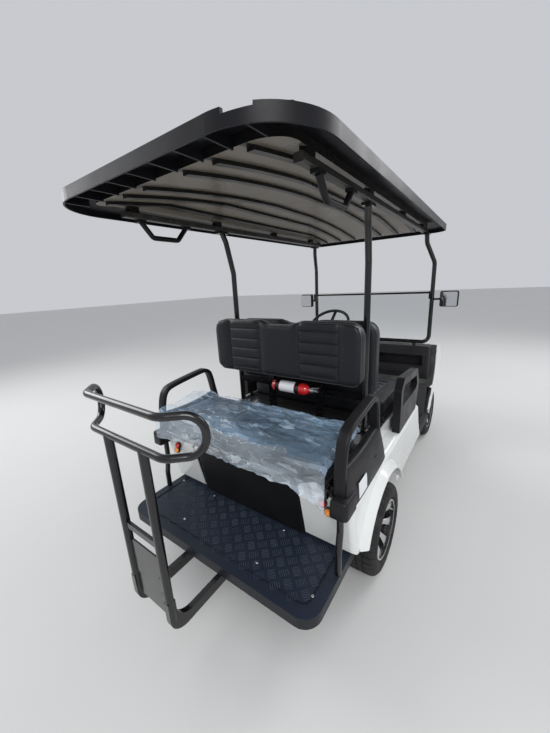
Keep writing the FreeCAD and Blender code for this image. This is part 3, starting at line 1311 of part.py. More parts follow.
def make_grab_bar():
    """Closed loop on two posts that bend into flat arms under the step, with a plate."""
    x = GRAB_X
    half = d.grab_half_width
    top = d.grab_top_up
    low = d.grab_low_up
    reach = x + d.grab_return
    end = half + d.grab_end
    rad = d.grab_tube_radius
    foot = d.grab_post_bottom_up
    loop = tube("grab_loop", [
        (x, 0, top), (x, half, top), (reach, end, top), (reach, end, low),
        (x, half, low), (x, -half, low), (reach, -end, low),
        (reach, -end, top), (x, -half, top), (x, -10, top)], 60, rad)
    parts = [loop, cylinder("grab_bridge", rad, 14, (x, -12, top), "Y")]
    near = x - d.grab_post_radius
    far = x + d.grab_post_radius
    step = ahead(d.step_rear_at)
    under = BEAM_UP - d.step_cross_depth - d.fit_gap

    def bends(edge):
        at = edge.BoundBox
        outer = at.XMax < float(near) + 1 and at.ZMax < float(d.grab_arm_up) + 1
        inner = abs(at.XMax - float(far)) < 1 and at.ZMax < float(BEAM_UP) + 1
        return runs_along("Y")(edge) and (outer or inner)
    for side in (1, -1):
        y = side * d.grab_post_off
        parts.append(cylinder("grab_post_%d" % side, d.grab_post_radius, low - foot,
                              (x, y, foot), "Z"))
        arm = profile_body("grab_arm_%d" % side, "XZ_Plane", [
            (near, foot + 90), (near, d.grab_arm_up), (step + 230, d.grab_arm_up),
            (step + 230, under), (step + 50, under), (step + 30, BEAM_UP - 1), (far, BEAM_UP - 1),
            (far, foot + 90)], d.grab_arm_width, [(d.grab_arm_bend, bends)])
        place(arm, 0, y, 0)
        parts.append(arm)
    cross = d.grab_cross_up
    parts.append(box("grab_cross", (x - 6, x + 6), (-d.grab_post_off, d.grab_post_off),
                     (cross - 12, cross + 12)))
    base = d.plate_bottom_up
    tall = d.plate_height
    trim = d.plate_corner
    wide = d.grab_post_off
    plate = profile_body("grab_plate", "YZ_Plane", [
        (-wide, base + trim), (-wide + trim, base), (wide - trim, base), (wide, base + trim),
        (wide, base + tall - trim), (wide - trim, base + tall), (-wide + trim, base + tall),
        (-wide, base + tall - trim)], size(6))
    place(plate, x, 0, 0)
    holes = []
    middle = base + tall / 2
    for dy in (-0.5, 0.5):
        for dz in (-0.5, 0.5):
            holes.append(cylinder("plate_hole_%d%d" % (dy * 2 + 1, dz * 2 + 1),
                                  d.plate_hole_radius, 20,
                                  (x - 10, d.plate_hole_width * dy,
                                   middle + d.plate_hole_height * dz), "X"))
    parts.append(cut("grab_plate_holed", plate, fuse("plate_holes", holes)))
    node("grab_bar", fuse("grab_bar_solid", parts))


def make_steering():
    """Column through the dash, and a three-spoke wheel square to it."""
    tilt = math.radians(float(d.column_tilt))
    axis = Vector(-math.cos(tilt), 0, math.sin(tilt))
    centre = vec(fore(d.wheel_by), d.wheel_off, d.wheel_up)
    turn = Rotation(Vector(0, 0, 1), axis)
    gap = float(d.fit_gap)
    reach = float(fore(d.dash_rear_by) - fore(d.wheel_by)) / math.cos(tilt) + 50
    column = doc.addObject("Part::Cylinder", "column_tube")
    bind(column, "Radius", d.column_radius)
    column.Height = reach
    start = centre - axis * (reach + 34 + gap)
    column.Placement = Placement(start, turn)
    node("steering_column", column)
    rim = Part.makeTorus(float(d.wheel_radius), float(d.wheel_rim_radius))
    hub = Part.makeCylinder(38, 40, Vector(0, 0, -34))
    spokes = []
    # angle of each spoke in the wheel's own plane
    for angle in (0, 180, 270):
        spoke = Part.makeBox(float(d.wheel_radius) - 20, 26, 9, Vector(20, -13, -20))
        spoke.rotate(Vector(0, 0, 0), Vector(0, 0, 1), angle)
        spokes.append(spoke)
    wheel = rim.multiFuse([hub] + spokes)
    wheel_object = shape_object("wheel_form", wheel)
    across = turn.multVec(Vector(1, 0, 0))
    want = Vector(0, 1, 0)
    twist = math.degrees(across.getAngle(want))
    check = turn.multiply(Rotation(Vector(0, 0, 1), twist)).multVec(Vector(1, 0, 0))
    if (check - want).Length > 0.01:
        twist = -twist
    wheel_object.Placement = Placement(centre, turn.multiply(Rotation(Vector(0, 0, 1), twist)))
    node("steering_wheel", wheel_object)


def make_pedals():
    pedals = []
    # distance from the centre plane and half width of each pedal
    for label, off, half in (("brake", 262, 36), ("drive", 178, 28)):
        pad = profile_body("pedal_" + label, "XZ_Plane", [
            (fore(-340), 350), (fore(-326), 345), (fore(-292), 446), (fore(-306), 451)],
            size(half * 2))
        place(pad, 0, off, 0)
        board_foot = vec(fore(d.toe_start_by) - d.floor_thickness, off,
                         d.floor_up + d.floor_thickness)
        board_head = vec(fore(d.toe_end_by) - d.floor_thickness, off, d.toe_top_up)
        along = (board_head - board_foot).normalize()
        outward = Vector(-along.z, 0, along.x)
        seat = board_foot + along * 84 + outward * float(d.fit_gap)
        stem = doc.addObject("Part::Cylinder", "pedal_stem_" + label)
        bind(stem, "Radius", 8)
        bind(stem, "Height", 44)
        stem.Placement = Placement(seat, Rotation(Vector(0, 0, 1), outward))
        pedals.append(fuse("pedal_set_" + label, [pad, stem]))
    node("pedals", group("pedal_group", pedals))


def make_mirrors():
    x = fore(d.mirror_by)
    off = d.mirror_off
    head = box("mirror_head_plain", (x - 14, x + 20), (off - 66, off + 66),
               (d.mirror_up - 62, d.mirror_up + 62))
    soft = round_edges("mirror_head", head, 14, lambda edge: True)
    arm = tube("mirror_arm", [
        (x + 4, off - 30, d.mirror_up), (x + 4, off - 62, d.mirror_up),
        (fore(d.front_strut_by), off - 80, d.mirror_up),
        (fore(d.front_strut_by), d.front_strut_off + d.strut_radius + d.fit_gap,
         d.mirror_up)], 8, 8)
    node("mirrors", pair("mirror_pair", fuse("mirror_left", [soft, arm])))


def make_extinguisher():
    """Extinguisher that lies across the cart, below the rear seat back."""
    x = ahead(BOTTLE_AT)
    up = BOTTLE_UP
    bottle = cylinder("bottle_body", BOTTLE_RADIUS, 236, (x, -148, up), "Y")
    rounded = round_edges("bottle_round", bottle, 14, lambda edge: True)
    neck = cylinder("bottle_neck", 13, 30, (x, -176, up), "Y")
    valve = box("bottle_valve", (x - 12, x + 12), (size(-216), size(-172)),
                (up - 16, up + 20))
    node("extinguisher", fuse("bottle", [rounded, neck, valve]))


def make_straps():
    """Straps that hold the extinguisher to the lower bar of the seat back frame."""
    x = ahead(BOTTLE_AT)
    straps = []
    for number, y in enumerate((-96, 36)):
        ring = cylinder("strap_ring_%d" % number, BOTTLE_RADIUS + 5, 24, (x, y, BOTTLE_UP), "Y")
        hole = cylinder("strap_hole_%d" % number, BOTTLE_RADIUS + d.fit_gap, 40,
                        (x, y - 8, BOTTLE_UP), "Y")
        foot = box("strap_foot_%d" % number, (x + 30, ahead(d.rear_strut_at) - 15 - d.fit_gap),
                   (size(y), size(y + 24)), (size(848), size(874)))
        straps.append(cut("strap_%d" % number, fuse("strap_solid_%d" % number, [ring, foot]),
                          hole))
    return straps


def check_document():
    """Stop if any object failed or any sub-part has no sound shape."""
    doc.recompute()
    faults = []
    for thing in doc.Objects:
        if "Invalid" in thing.State or "Error" in thing.State:
            faults.append("%s failed" % thing.Name)
    for thing in NODES:
        if thing.Shape.isNull() or not thing.Shape.isValid():
            faults.append("%s has no valid shape" % thing.Label)
        elif not thing.Shape.Solids:
            faults.append("%s has no solid" % thing.Label)
    if faults:
        raise RuntimeError("; ".join(faults))


def main():
    make_wheels()
    make_rails()
    make_rear_axle()
    make_front_suspension()
    make_knuckles()
    make_battery()
    make_rear_body()
    make_front_body()
    make_headlamps()
    make_dash()
    make_floor()
    make_bumper()
    make_tail_lamps()
    make_roof()
    make_roof_rails()
    make_roof_handles()
    make_struts()
    make_windscreen()
    make_seats()
    make_seat_frames()
    make_armrests()
    make_tub()
    make_step()
    make_grab_bar()
    make_steering()
    make_pedals()
    make_mirrors()
    make_extinguisher()
    check_document()
    os.makedirs("parts", exist_ok=True)
    for thing in NODES:
        thing.Shape.exportStep("parts/%s.step" % thing.Label)


main()
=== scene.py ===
import math

import bmesh
import bpy
from mathutils import Matrix, Vector, noise
from mathutils.bvhtree import BVHTree


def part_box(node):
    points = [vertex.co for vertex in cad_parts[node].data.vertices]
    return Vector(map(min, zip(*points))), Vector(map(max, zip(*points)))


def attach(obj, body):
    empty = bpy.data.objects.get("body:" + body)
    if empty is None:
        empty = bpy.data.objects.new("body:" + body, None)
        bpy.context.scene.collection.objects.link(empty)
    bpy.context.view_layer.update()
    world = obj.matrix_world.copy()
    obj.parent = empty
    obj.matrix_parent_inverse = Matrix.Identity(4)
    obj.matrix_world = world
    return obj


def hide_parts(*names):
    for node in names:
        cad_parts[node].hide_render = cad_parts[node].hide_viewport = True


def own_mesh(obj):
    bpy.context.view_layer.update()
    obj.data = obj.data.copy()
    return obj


# Dresses a four-seat golf cart for a studio picture. Metres, in the frame of the solids.

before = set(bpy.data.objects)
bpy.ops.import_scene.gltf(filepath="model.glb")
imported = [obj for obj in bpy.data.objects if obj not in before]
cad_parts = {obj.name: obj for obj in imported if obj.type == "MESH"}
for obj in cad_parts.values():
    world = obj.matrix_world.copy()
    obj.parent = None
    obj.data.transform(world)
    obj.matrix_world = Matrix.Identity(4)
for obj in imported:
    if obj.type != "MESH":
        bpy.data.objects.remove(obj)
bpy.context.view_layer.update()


def middle_of(node):
    """The middle of a node's box."""
    return [(low + high) / 2 for low, high in zip(*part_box(node))]


# Places are measured forward from the rear axle, as the source's sizes are.
REAR_AXLE_X = middle_of("tyre_rear_left")[0]
CORNERS = ("rear_left", "rear_right", "front_left", "front_right")


def at(x, y, z):
    """A point given forward from the rear axle."""
    return Vector((x + REAR_AXLE_X, y, z))


# Meshes

def smooth(mesh, angle):
    """Shades a mesh smooth but for its sharp edges."""
    made = bmesh.new()
    made.from_mesh(mesh)
    for face in made.faces:
        face.smooth = True
    for edge in made.edges:
        if len(edge.link_faces) == 2:
            edge.smooth = edge.calc_face_angle(0.0) < math.radians(angle)
    made.to_mesh(mesh)
    made.free()


def in_scene(name, data):
    """A new object of a mesh, camera or lamp."""
    thing = bpy.data.objects.new(name, data)
    bpy.context.scene.collection.objects.link(thing)
    return thing


def place_piece(name, mesh, shade, body, angle):
    """Puts a mesh in the scene as a finished piece that rides on a body."""
    smooth(mesh, angle)
    mesh.materials.append(SHADES[shade].material)
    piece = in_scene(name, mesh)
    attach(piece, body)
    return piece


def mesh_of(name, vertices, faces):
    """A new mesh of points and faces."""
    mesh = bpy.data.meshes.new(name)
    mesh.from_pydata([tuple(v) for v in vertices], [], faces)
    mesh.update()
    return mesh


def angles(count, first=0.0):
    """Even angles round a full turn."""
    return [2 * math.pi * (n + first) / count for n in range(count)]


class Heap:
    """Vertices and faces of many small forms that make one piece."""

    def __init__(self):
        self.vertices = []
        self.faces = []

    def place(self, name, shade, body="chassis", angle=35.0):
        """Puts the forms in the scene as one piece."""
        mesh = mesh_of(name, self.vertices, self.faces)
        return place_piece(name, mesh, shade, body, angle)

    def turned(self, outline, middle, axis, closed_ends=True, segments=24):
        """Turns pairs of (distance along the axis, radius) round an axis."""
        along = Vector(axis).normalized()
        side = along.orthogonal().normalized()
        other = along.cross(side)
        rows = []
        for reach, radius in outline:
            rows.append([Vector(middle) + along * reach
                         + (side * math.cos(angle) + other * math.sin(angle)) * radius
                         for angle in angles(segments)])
        self.rows(rows, closed_ends)

    def rows(self, rows, closed_ends=True):
        """Joins rows of points of equal count with faces."""
        first = len(self.vertices)
        count = len(rows[0])
        for row in rows:
            self.vertices.extend(Vector(point) for point in row)
        for k in range(len(rows) - 1):
            for n in range(count):
                a = first + k * count + n
                b = first + k * count + (n + 1) % count
                self.faces.append((a, b, b + count, a + count))
        if closed_ends:
            self.faces.append(tuple(first + n for n in reversed(range(count))))
            last = first + (len(rows) - 1) * count
            self.faces.append(tuple(last + n for n in range(count)))

    def pipe(self, points, radius, segments, closed=False):
        """A round cord through points, carried along without twist."""
        spots = [Vector(point) for point in points]
        count = len(spots)
        rows = []
        side = None
        for k, spot in enumerate(spots):
            before = spots[k - 1] if (k or closed) else spot
            after = spots[(k + 1) % count] if (k < count - 1 or closed) else spot
            way = (after - before).normalized()
            if side is None:
                side = way.orthogonal().normalized()
            side = (side - way * side.dot(way)).normalized()
            other = way.cross(side)
            rows.append([spot + (side * math.cos(angle) + other * math.sin(angle)) * radius
                         for angle in angles(segments)])
        if closed:
            rows.append(rows[0])
        self.rows(rows, closed_ends=not closed)

    def slab(self, outline, low, high, axis, bevel):
        """A flat outline made thick along an axis, its two rims drawn in by a bevel."""
        def lift(u, v, w):
            return Vector((w, u, v) if axis == "X" else (u, v, w))
        rings = [(low, bevel), (low + bevel, 0.0), (high - bevel, 0.0), (high, bevel)]
        self.rows([[lift(u, v, level) for u, v in drawn_in(outline, inset)]
                   for level, inset in rings])

    def hex_bolt(self, middle, axis, radius):
        """A washer with a six-sided head on it."""
        height = radius * 0.9
        self.turned([(0, radius * 1.5), (radius * 0.22, radius * 1.5),
                     (radius * 0.28, radius * 1.42)], middle, axis, segments=16)
        start = Vector(middle) + Vector(axis).normalized() * radius * 0.25
        self.turned([(0, radius), (height * 0.85, radius), (height, radius * 0.84)],
                    start, axis, segments=6)

    def cap_screw(self, middle, axis, radius):
        """A low domed screw head."""
        self.turned([(0, radius), (radius * 0.25, radius), (radius * 0.5, radius * 0.8),
                     (radius * 0.62, radius * 0.35)], middle, axis, segments=14)


def rectangle(low_u, low_v, high_u, high_v):
    """The corners of a flat rectangle."""
    return [(low_u, low_v), (high_u, low_v), (high_u, high_v), (low_u, high_v)]


def drawn_in(outline, inset):
    """An outline with each side moved inward by the same distance."""
    if inset == 0:
        return list(outline)
    count = len(outline)
    area = sum(outline[n][0] * outline[(n + 1) % count][1]
               - outline[(n + 1) % count][0] * outline[n][1] for n in range(count))
    turn = 1 if area > 0 else -1
    made = []
    for n in range(count):
        before = Vector(outline[n - 1])
        here = Vector(outline[n])
        after = Vector(outline[(n + 1) % count])
        first = (here - before).normalized()
        second = (after - here).normalized()
        normal = Vector((-first.y - second.y, first.x + second.x)) * turn
        if normal.length < 1e-6:
            normal = Vector((-first.y, first.x)) * turn
        normal.normalize()
        reach = inset / max(0.4, normal.dot(Vector((-first.y, first.x)) * turn))
        made.append(tuple(here + normal * reach))
    return made


def rounded(outline, radius, steps=5):
    """An outline whose corners are arcs. A radius may be given for each corner."""
    count = len(outline)
    made = []
    for n in range(count):
        size = radius[n] if hasattr(radius, "__len__") else radius
        here = Vector(outline[n])
        back = Vector(outline[n - 1]) - here
        on = Vector(outline[(n + 1) % count]) - here
        turn = math.pi - back.angle(on)
        if size <= 0 or turn < 0.02:
            made.append(tuple(here))
            continue
        trim = min(size * math.tan(turn / 2), back.length * 0.48, on.length * 0.48)
        start = here + back.normalized() * trim
        end = here + on.normalized() * trim
        for k in range(steps + 1):
            t = k / steps
            made.append(tuple((start * (1 - t) + here * t) * (1 - t)
                              + (here * (1 - t) + end * t) * t))
    return made


# Materials

class Shade:
    """A Principled material and the node chain that feeds it."""

    def __init__(self, name, color, rough, metal=0.0, **sockets):
        self.material = bpy.data.materials.new(name)
        self.material.use_nodes = True
        self.tree = self.material.node_tree
        self.shader = self.tree.nodes["Principled BSDF"]
        self.color = tuple(color) + (1.0,)
        sockets.update(Base_Color=self.color, Roughness=rough, Metallic=metal)
        for socket, value in sockets.items():
            self.shader.inputs[socket.replace("_", " ")].default_value = value
        self.place = self.node("ShaderNodeTexCoord", {})["Object"]
        self.mixed = None

    def join(self, source, target):
        self.tree.links.new(source, target)

    def node(self, kind, inputs, **settings):
        """The outputs of a new node. An input is a value or another node's output."""
        made = self.tree.nodes.new(kind)
        for key, value in settings.items():
            setattr(made, key, value)
        for key, value in inputs.items():
            if isinstance(value, bpy.types.NodeSocket):
                self.join(value, made.inputs[key])
            else:
                made.inputs[key].default_value = value
        return made.outputs

    def stretched(self, scale):
        return self.node("ShaderNodeMapping", {"Scale": scale, "Vector": self.place})["Vector"]

    def noise(self, scale, detail=3.0, rough=0.5, vector=None):
        return self.node("ShaderNodeTexNoise", {
            "Scale": scale, "Detail": detail, "Roughness": rough,
            "Vector": vector or self.place})["Fac"]

    def cells(self, scale, vector=None):
        return self.node("ShaderNodeTexVoronoi", {"Scale": scale,
                                                  "Vector": vector or self.place})

    def part(self, vector, axis):
        return self.node("ShaderNodeSeparateXYZ", {0: vector})[axis]

    def ramp(self, source, low, high, first=0.0, last=1.0):
        """The source between low and high, spread over first to last."""
        return self.node("ShaderNodeMapRange", {
            "Value": source, "From Min": low, "From Max": high, "To Min": first,
            "To Max": last})["Result"]

    def math(self, operation, first, second):
        return self.node("ShaderNodeMath", {0: first, 1: second}, operation=operation)[0]

    def size(self, source):
        return self.math("ABSOLUTE", source, 0.0)

    def tint(self, share, other):
        """Mixes another colour over what is there by a share that varies on the surface."""
        below = self.color if self.mixed is None else self.mixed
        self.mixed = self.node("ShaderNodeMix", {
            "Factor": share, "A": below, "B": tuple(other) + (1.0,)},
            data_type="RGBA")["Result"]
        self.join(self.mixed, self.shader.inputs["Base Color"])

    def rough(self, source, low, high):
        self.join(self.ramp(source, 0.3, 0.7, low, high), self.shader.inputs["Roughness"])

    def bump(self, height, strength, distance):
        inputs = {"Strength": strength, "Distance": distance, "Height": height}
        previous = self.shader.inputs["Normal"].links
        if previous:
            inputs["Normal"] = previous[0].from_socket
        self.join(self.node("ShaderNodeBump", inputs)["Normal"],
                  self.shader.inputs["Normal"])

    def along(self, axis):
        """The place on the surface along an axis of its own body, in metres."""
        return self.part(self.place, axis)

    def across(self, axis):
        """How much the surface faces along an axis of its own body, 0 to 1."""
        return self.size(self.part(self.node("ShaderNodeTexCoord", {})["Normal"], axis))


def plastic(name, color, rough, grain=900.0, strength=0.25):
    """Moulded plastic with a fine grain and slow changes of gloss."""
    shade = Shade(name, color, rough, Specular_IOR_Level=0.23)
    slow = shade.noise(7.0, 4.0)
    shade.rough(slow, rough - 0.06, rough + 0.08)
    shade.tint(shade.ramp(slow, 0.35, 0.75, 0.0, 0.35), [c * 1.6 + 0.004 for c in color])
    shade.bump(shade.noise(grain, 2.0), strength, 0.0006)
    return shade


def painted_tube(name, color, rough):
    """Black gloss paint with a little dust."""
    shade = Shade(name, color, rough, Specular_IOR_Level=0.35, Coat_Weight=0.45,
                  Coat_Roughness=0.04)
    dust = shade.noise(16.0, 6.0, 0.6)
    shade.rough(dust, rough, rough + 0.12)
    shade.tint(shade.ramp(dust, 0.55, 0.85, 0.0, 0.12), (0.10, 0.09, 0.08))
    shade.bump(shade.noise(160.0, 2.0), 0.03, 0.0006)
    return shade


def gloss_white(name):
    """Painted moulding, a little soiled."""
    shade = Shade(name, (0.76, 0.78, 0.765), 0.22, Coat_Weight=0.8, Coat_Roughness=0.05)
    soil = shade.noise(5.0, 5.0, 0.6)
    shade.tint(shade.ramp(soil, 0.35, 0.95, 0.0, 0.16), (0.62, 0.63, 0.60))
    shade.rough(soil, 0.18, 0.3)
    shade.bump(shade.noise(90.0, 2.0), 0.03, 0.0015)
    return shade


def vinyl(name, color):
    """Upholstery vinyl: small pebbled grain, and a broad sheen."""
    shade = Shade(name, color, 0.42, Sheen_Weight=0.02, Specular_IOR_Level=0.26)
    shade.bump(shade.cells(520.0)["Distance"], 0.22, 0.0007)
    shade.bump(shade.noise(14.0, 3.0), 0.12, 0.006)
    worn = shade.noise(9.0, 5.0, 0.55)
    shade.rough(worn, 0.36, 0.5)
    shade.tint(shade.ramp(worn, 0.4, 0.8, 0.0, 0.3), [c * 1.4 + 0.004 for c in color])
    return shade


# name, colour, roughness, and the grain's scale and strength
PLASTICS = {
    "roof": ("roof_satin", (0.008, 0.008, 0.010), 0.36),
    # the liner's light tan is partly its own dark plastic and partly a painted reflection of
    # sunlit ground
    "liner": ("liner_satin", (0.150, 0.128, 0.100), 0.32, 500.0, 0.15),
    "moulded": ("moulded_black", (0.009, 0.009, 0.010), 0.40),
    "dash": ("dash_black", (0.016, 0.016, 0.018), 0.5, 700.0, 0.4),
    "tub": ("tub_black", (0.006, 0.006, 0.007), 0.42),
    "step": ("step_blue_black", (0.010, 0.012, 0.017), 0.40, 800.0, 0.3),
    # the tread bars' lighter, bluer colour is a painted glint of sky light on the raised bars
    "step_bar": ("step_bar_worn", (0.038, 0.050, 0.070), 0.30, 800.0, 0.2),
    "floor": ("floor_mat", (0.035, 0.035, 0.037), 0.7, 350.0, 0.6),
    "grip": ("wheel_grip", (0.018, 0.018, 0.019), 0.5, 900.0, 0.5),
    "case": ("battery_case", (0.05, 0.05, 0.055), 0.5),
}
# name, colour, roughness, metal; then the dust or wear on it: scale, detail and roughness of
# its noise, the noise where it starts and where it is full, its most and its colour
SOILED = {
    "rail": ("rail_metal", (0.050, 0.048, 0.045), 0.36, 0.5, (40.0, 6.0, 0.65),
             (0.45, 0.7, 0.6), (0.12, 0.11, 0.10)),
    "tyre": ("tyre_rubber", (0.014, 0.014, 0.015), 0.74, 0.0, (13.0, 6.0, 0.65),
             (0.45, 0.8, 0.4), (0.09, 0.077, 0.063)),
    "rim": ("rim_lacquer", (0.018, 0.018, 0.020), 0.25, 0.3, (22.0, 5.0, 0.6),
            (0.5, 0.85, 0.35), (0.12, 0.10, 0.085)),
    "machined": ("rim_machined", (0.62, 0.63, 0.64), 0.26, 1.0, (22.0, 5.0, 0.6),
                 (0.5, 0.8, 0.4), (0.30, 0.28, 0.26)),
    "amber": ("amber_lens", (0.90, 0.26, 0.02), 0.12, 0.0, (160.0, 2.0),
              (0.3, 0.7, 0.4), (0.98, 0.45, 0.05)),
    "red_lens": ("red_lens", (0.55, 0.012, 0.010), 0.12, 0.0, (160.0, 2.0),
                 (0.3, 0.7, 0.4), (0.75, 0.04, 0.03)),
    "red_paint": ("red_paint", (0.60, 0.018, 0.020), 0.2, 0.0, (40.0, 4.0),
                  (0.5, 0.85, 0.25), (0.30, 0.02, 0.02)),
    "label": ("blank_label", (0.78, 0.80, 0.82), 0.35, 0.0, (30.0, 3.0),
              (0.4, 0.8, 0.3), (0.62, 0.66, 0.70)),
    "steel": ("spring_steel", (0.06, 0.06, 0.06), 0.5, 0.7, (30.0, 5.0),
              (0.45, 0.8, 0.5), (0.14, 0.10, 0.08)),
    "thread": ("sewn_line", (0.004, 0.004, 0.004), 0.8, 0.0, (300.0, 2.0),
               (0.4, 0.7, 0.5), (0.010, 0.010, 0.011)),
}
# name, colour, roughness, metal; then the noise's scale and the roughness it varies between
UNEVEN = {
    "zinc": ("zinc", (0.55, 0.55, 0.55), 0.32, 1.0, 200.0, 0.25, 0.45),
    "mirror": ("mirror_glass", (0.82, 0.84, 0.86), 0.04, 1.0, 12.0, 0.02, 0.08),
    "welt": ("welt_vinyl", (0.024, 0.024, 0.027), 0.3, 0.0, 60.0, 0.24, 0.4),
}
# sockets of the shades above that differ from the shader's own values
SOCKETS = {
    "roof": {"Specular IOR Level": 0.18},
    "welt": {"Specular IOR Level": 0.6},
    "tyre": {"Specular IOR Level": 0.3},
    "rim": {"Coat Weight": 0.7, "Coat Roughness": 0.08},
    "amber": {"Coat Weight": 0.8},
    "red_lens": {"Coat Weight": 0.8},
    "red_paint": {"Coat Weight": 0.9, "Coat Roughness": 0.05},
}
# the near black of the liner's sides and of the painted shade over its ribs
DEEP_BLACK = (0.010, 0.010, 0.010)
# each roof rib's place from the middle, where a strip of painted shade goes, and half its width
# and a little more
ROOF_RIBS = (0.110, 0.240, 0.370)
ROOF_RIB_EDGE = (0.0125, 0.0145)
# the deck between the seats: half its width and its height, each with a fine soft edge
DECK_EDGE = (0.499, 0.501)
DECK_UP = (0.6695, 0.6705)
SHADES = {}


def make_shades():
    """All shades: those of the tables, and then those with a chain of their own."""
    for key, values in PLASTICS.items():
        SHADES[key] = plastic(*values)
    for key, (name, color, rough, metal, soil, (low, high, most), other) in SOILED.items():
        shade = Shade(name, color, rough, metal)
        shade.tint(shade.ramp(shade.noise(*soil), low, high, 0.0, most), other)
        SHADES[key] = shade
    for key, (name, color, rough, metal, scale, low, high) in UNEVEN.items():
        SHADES[key] = Shade(name, color, rough, metal)
        SHADES[key].rough(SHADES[key].noise(scale), low, high)
    for key, sockets in SOCKETS.items():
        for socket, value in sockets.items():
            SHADES[key].shader.inputs[socket].default_value = value
    SHADES["tube"] = painted_tube("gloss_black", (0.005, 0.005, 0.006), 0.16)
    SHADES["chassis"] = painted_tube("chassis_black", (0.022, 0.022, 0.023), 0.42)
    SHADES["vinyl"] = vinyl("black_vinyl", (0.011, 0.012, 0.015))
    SHADES["white"] = gloss_white("white_gloss")
    # the deck between the seats is black, and the body's sides below it are white
    body = gloss_white("white_gloss_black_deck")
    inside = body.ramp(body.size(body.along(1)), *DECK_EDGE, 1.0, 0.0)
    deck = body.math("MULTIPLY", inside, body.ramp(body.along(2), *DECK_UP))
    body.tint(deck, (0.013, 0.013, 0.014))
    SHADES["white_deck"] = body
    # the liner's colour is set by where its faces turn: faces turned down keep the tan of the
    # painted reflection, and faces turned sideways go near black
    liner = SHADES["liner"]
    liner.tint(liner.ramp(liner.across(2), 0.80, 0.90, 1.0, 0.0), DEEP_BLACK)
    # near-black strips over the ribs: painted shade in their grooves
    side = liner.size(liner.along(1))
    for off in ROOF_RIBS:
        away = liner.size(liner.math("SUBTRACT", side, off))
        liner.tint(liner.ramp(away, *ROOF_RIB_EDGE, 0.92, 0.0), DEEP_BLACK)
    # faces turned up are tinted bluer: a painted reflection of the sky
    step = SHADES["step"]
    step.tint(step.ramp(step.across(2), 0.6, 0.95), (0.015, 0.021, 0.034))
    rail = SHADES["rail"]
    rail.rough(rail.noise(40.0, 6.0, 0.65), 0.3, 0.5)
    tyre = SHADES["tyre"]
    tyre.bump(tyre.noise(420.0, 3.0), 0.35, 0.0008)
    machined = SHADES["machined"]
    lathe = machined.noise(60.0, 3.0, 0.5, machined.stretched((1.0, 18.0, 18.0)))
    machined.rough(lathe, 0.2, 0.34)
    trim = Shade("deck_trim", (0.20, 0.20, 0.21), 0.32, 0.9)
    brushed = trim.noise(90.0, 4.0, 0.6, trim.stretched((30.0, 0.6, 30.0)))
    trim.tint(trim.ramp(brushed, 0.35, 0.7, 0.0, 0.7), (0.05, 0.05, 0.055))
    trim.bump(brushed, 0.08, 0.0006)
    SHADES["trim"] = trim
    lamp = Shade("lamp_clear", (0.82, 0.88, 0.94), 0.05, Coat_Weight=1.0, Alpha=0.42)
    lamp.bump(lamp.cells(60.0)["Distance"], 0.3, 0.002)
    SHADES["lamp"] = lamp
    screen = Shade("screen_acrylic", (0.93, 0.96, 0.98), 0.06, Transmission_Weight=1.0,
                   IOR=1.1, Alpha=0.24)
    haze = screen.noise(3.0, 4.0, 0.6, screen.stretched((1.0, 3.0, 0.7)))
    screen.rough(haze, 0.04, 0.22)
    screen.bump(screen.noise(3.5, 2.0, 0.4, screen.stretched((1.0, 3.0, 0.8))), 0.15, 0.005)
    SHADES["screen"] = screen
    pedal = Shade("pedal_metal", (0.34, 0.34, 0.34), 0.4, 0.9)
    pedal.bump(pedal.noise(300.0, 3.0), 0.2, 0.0006)
    SHADES["pedal"] = pedal
    SHADES["film"] = crushed_film()


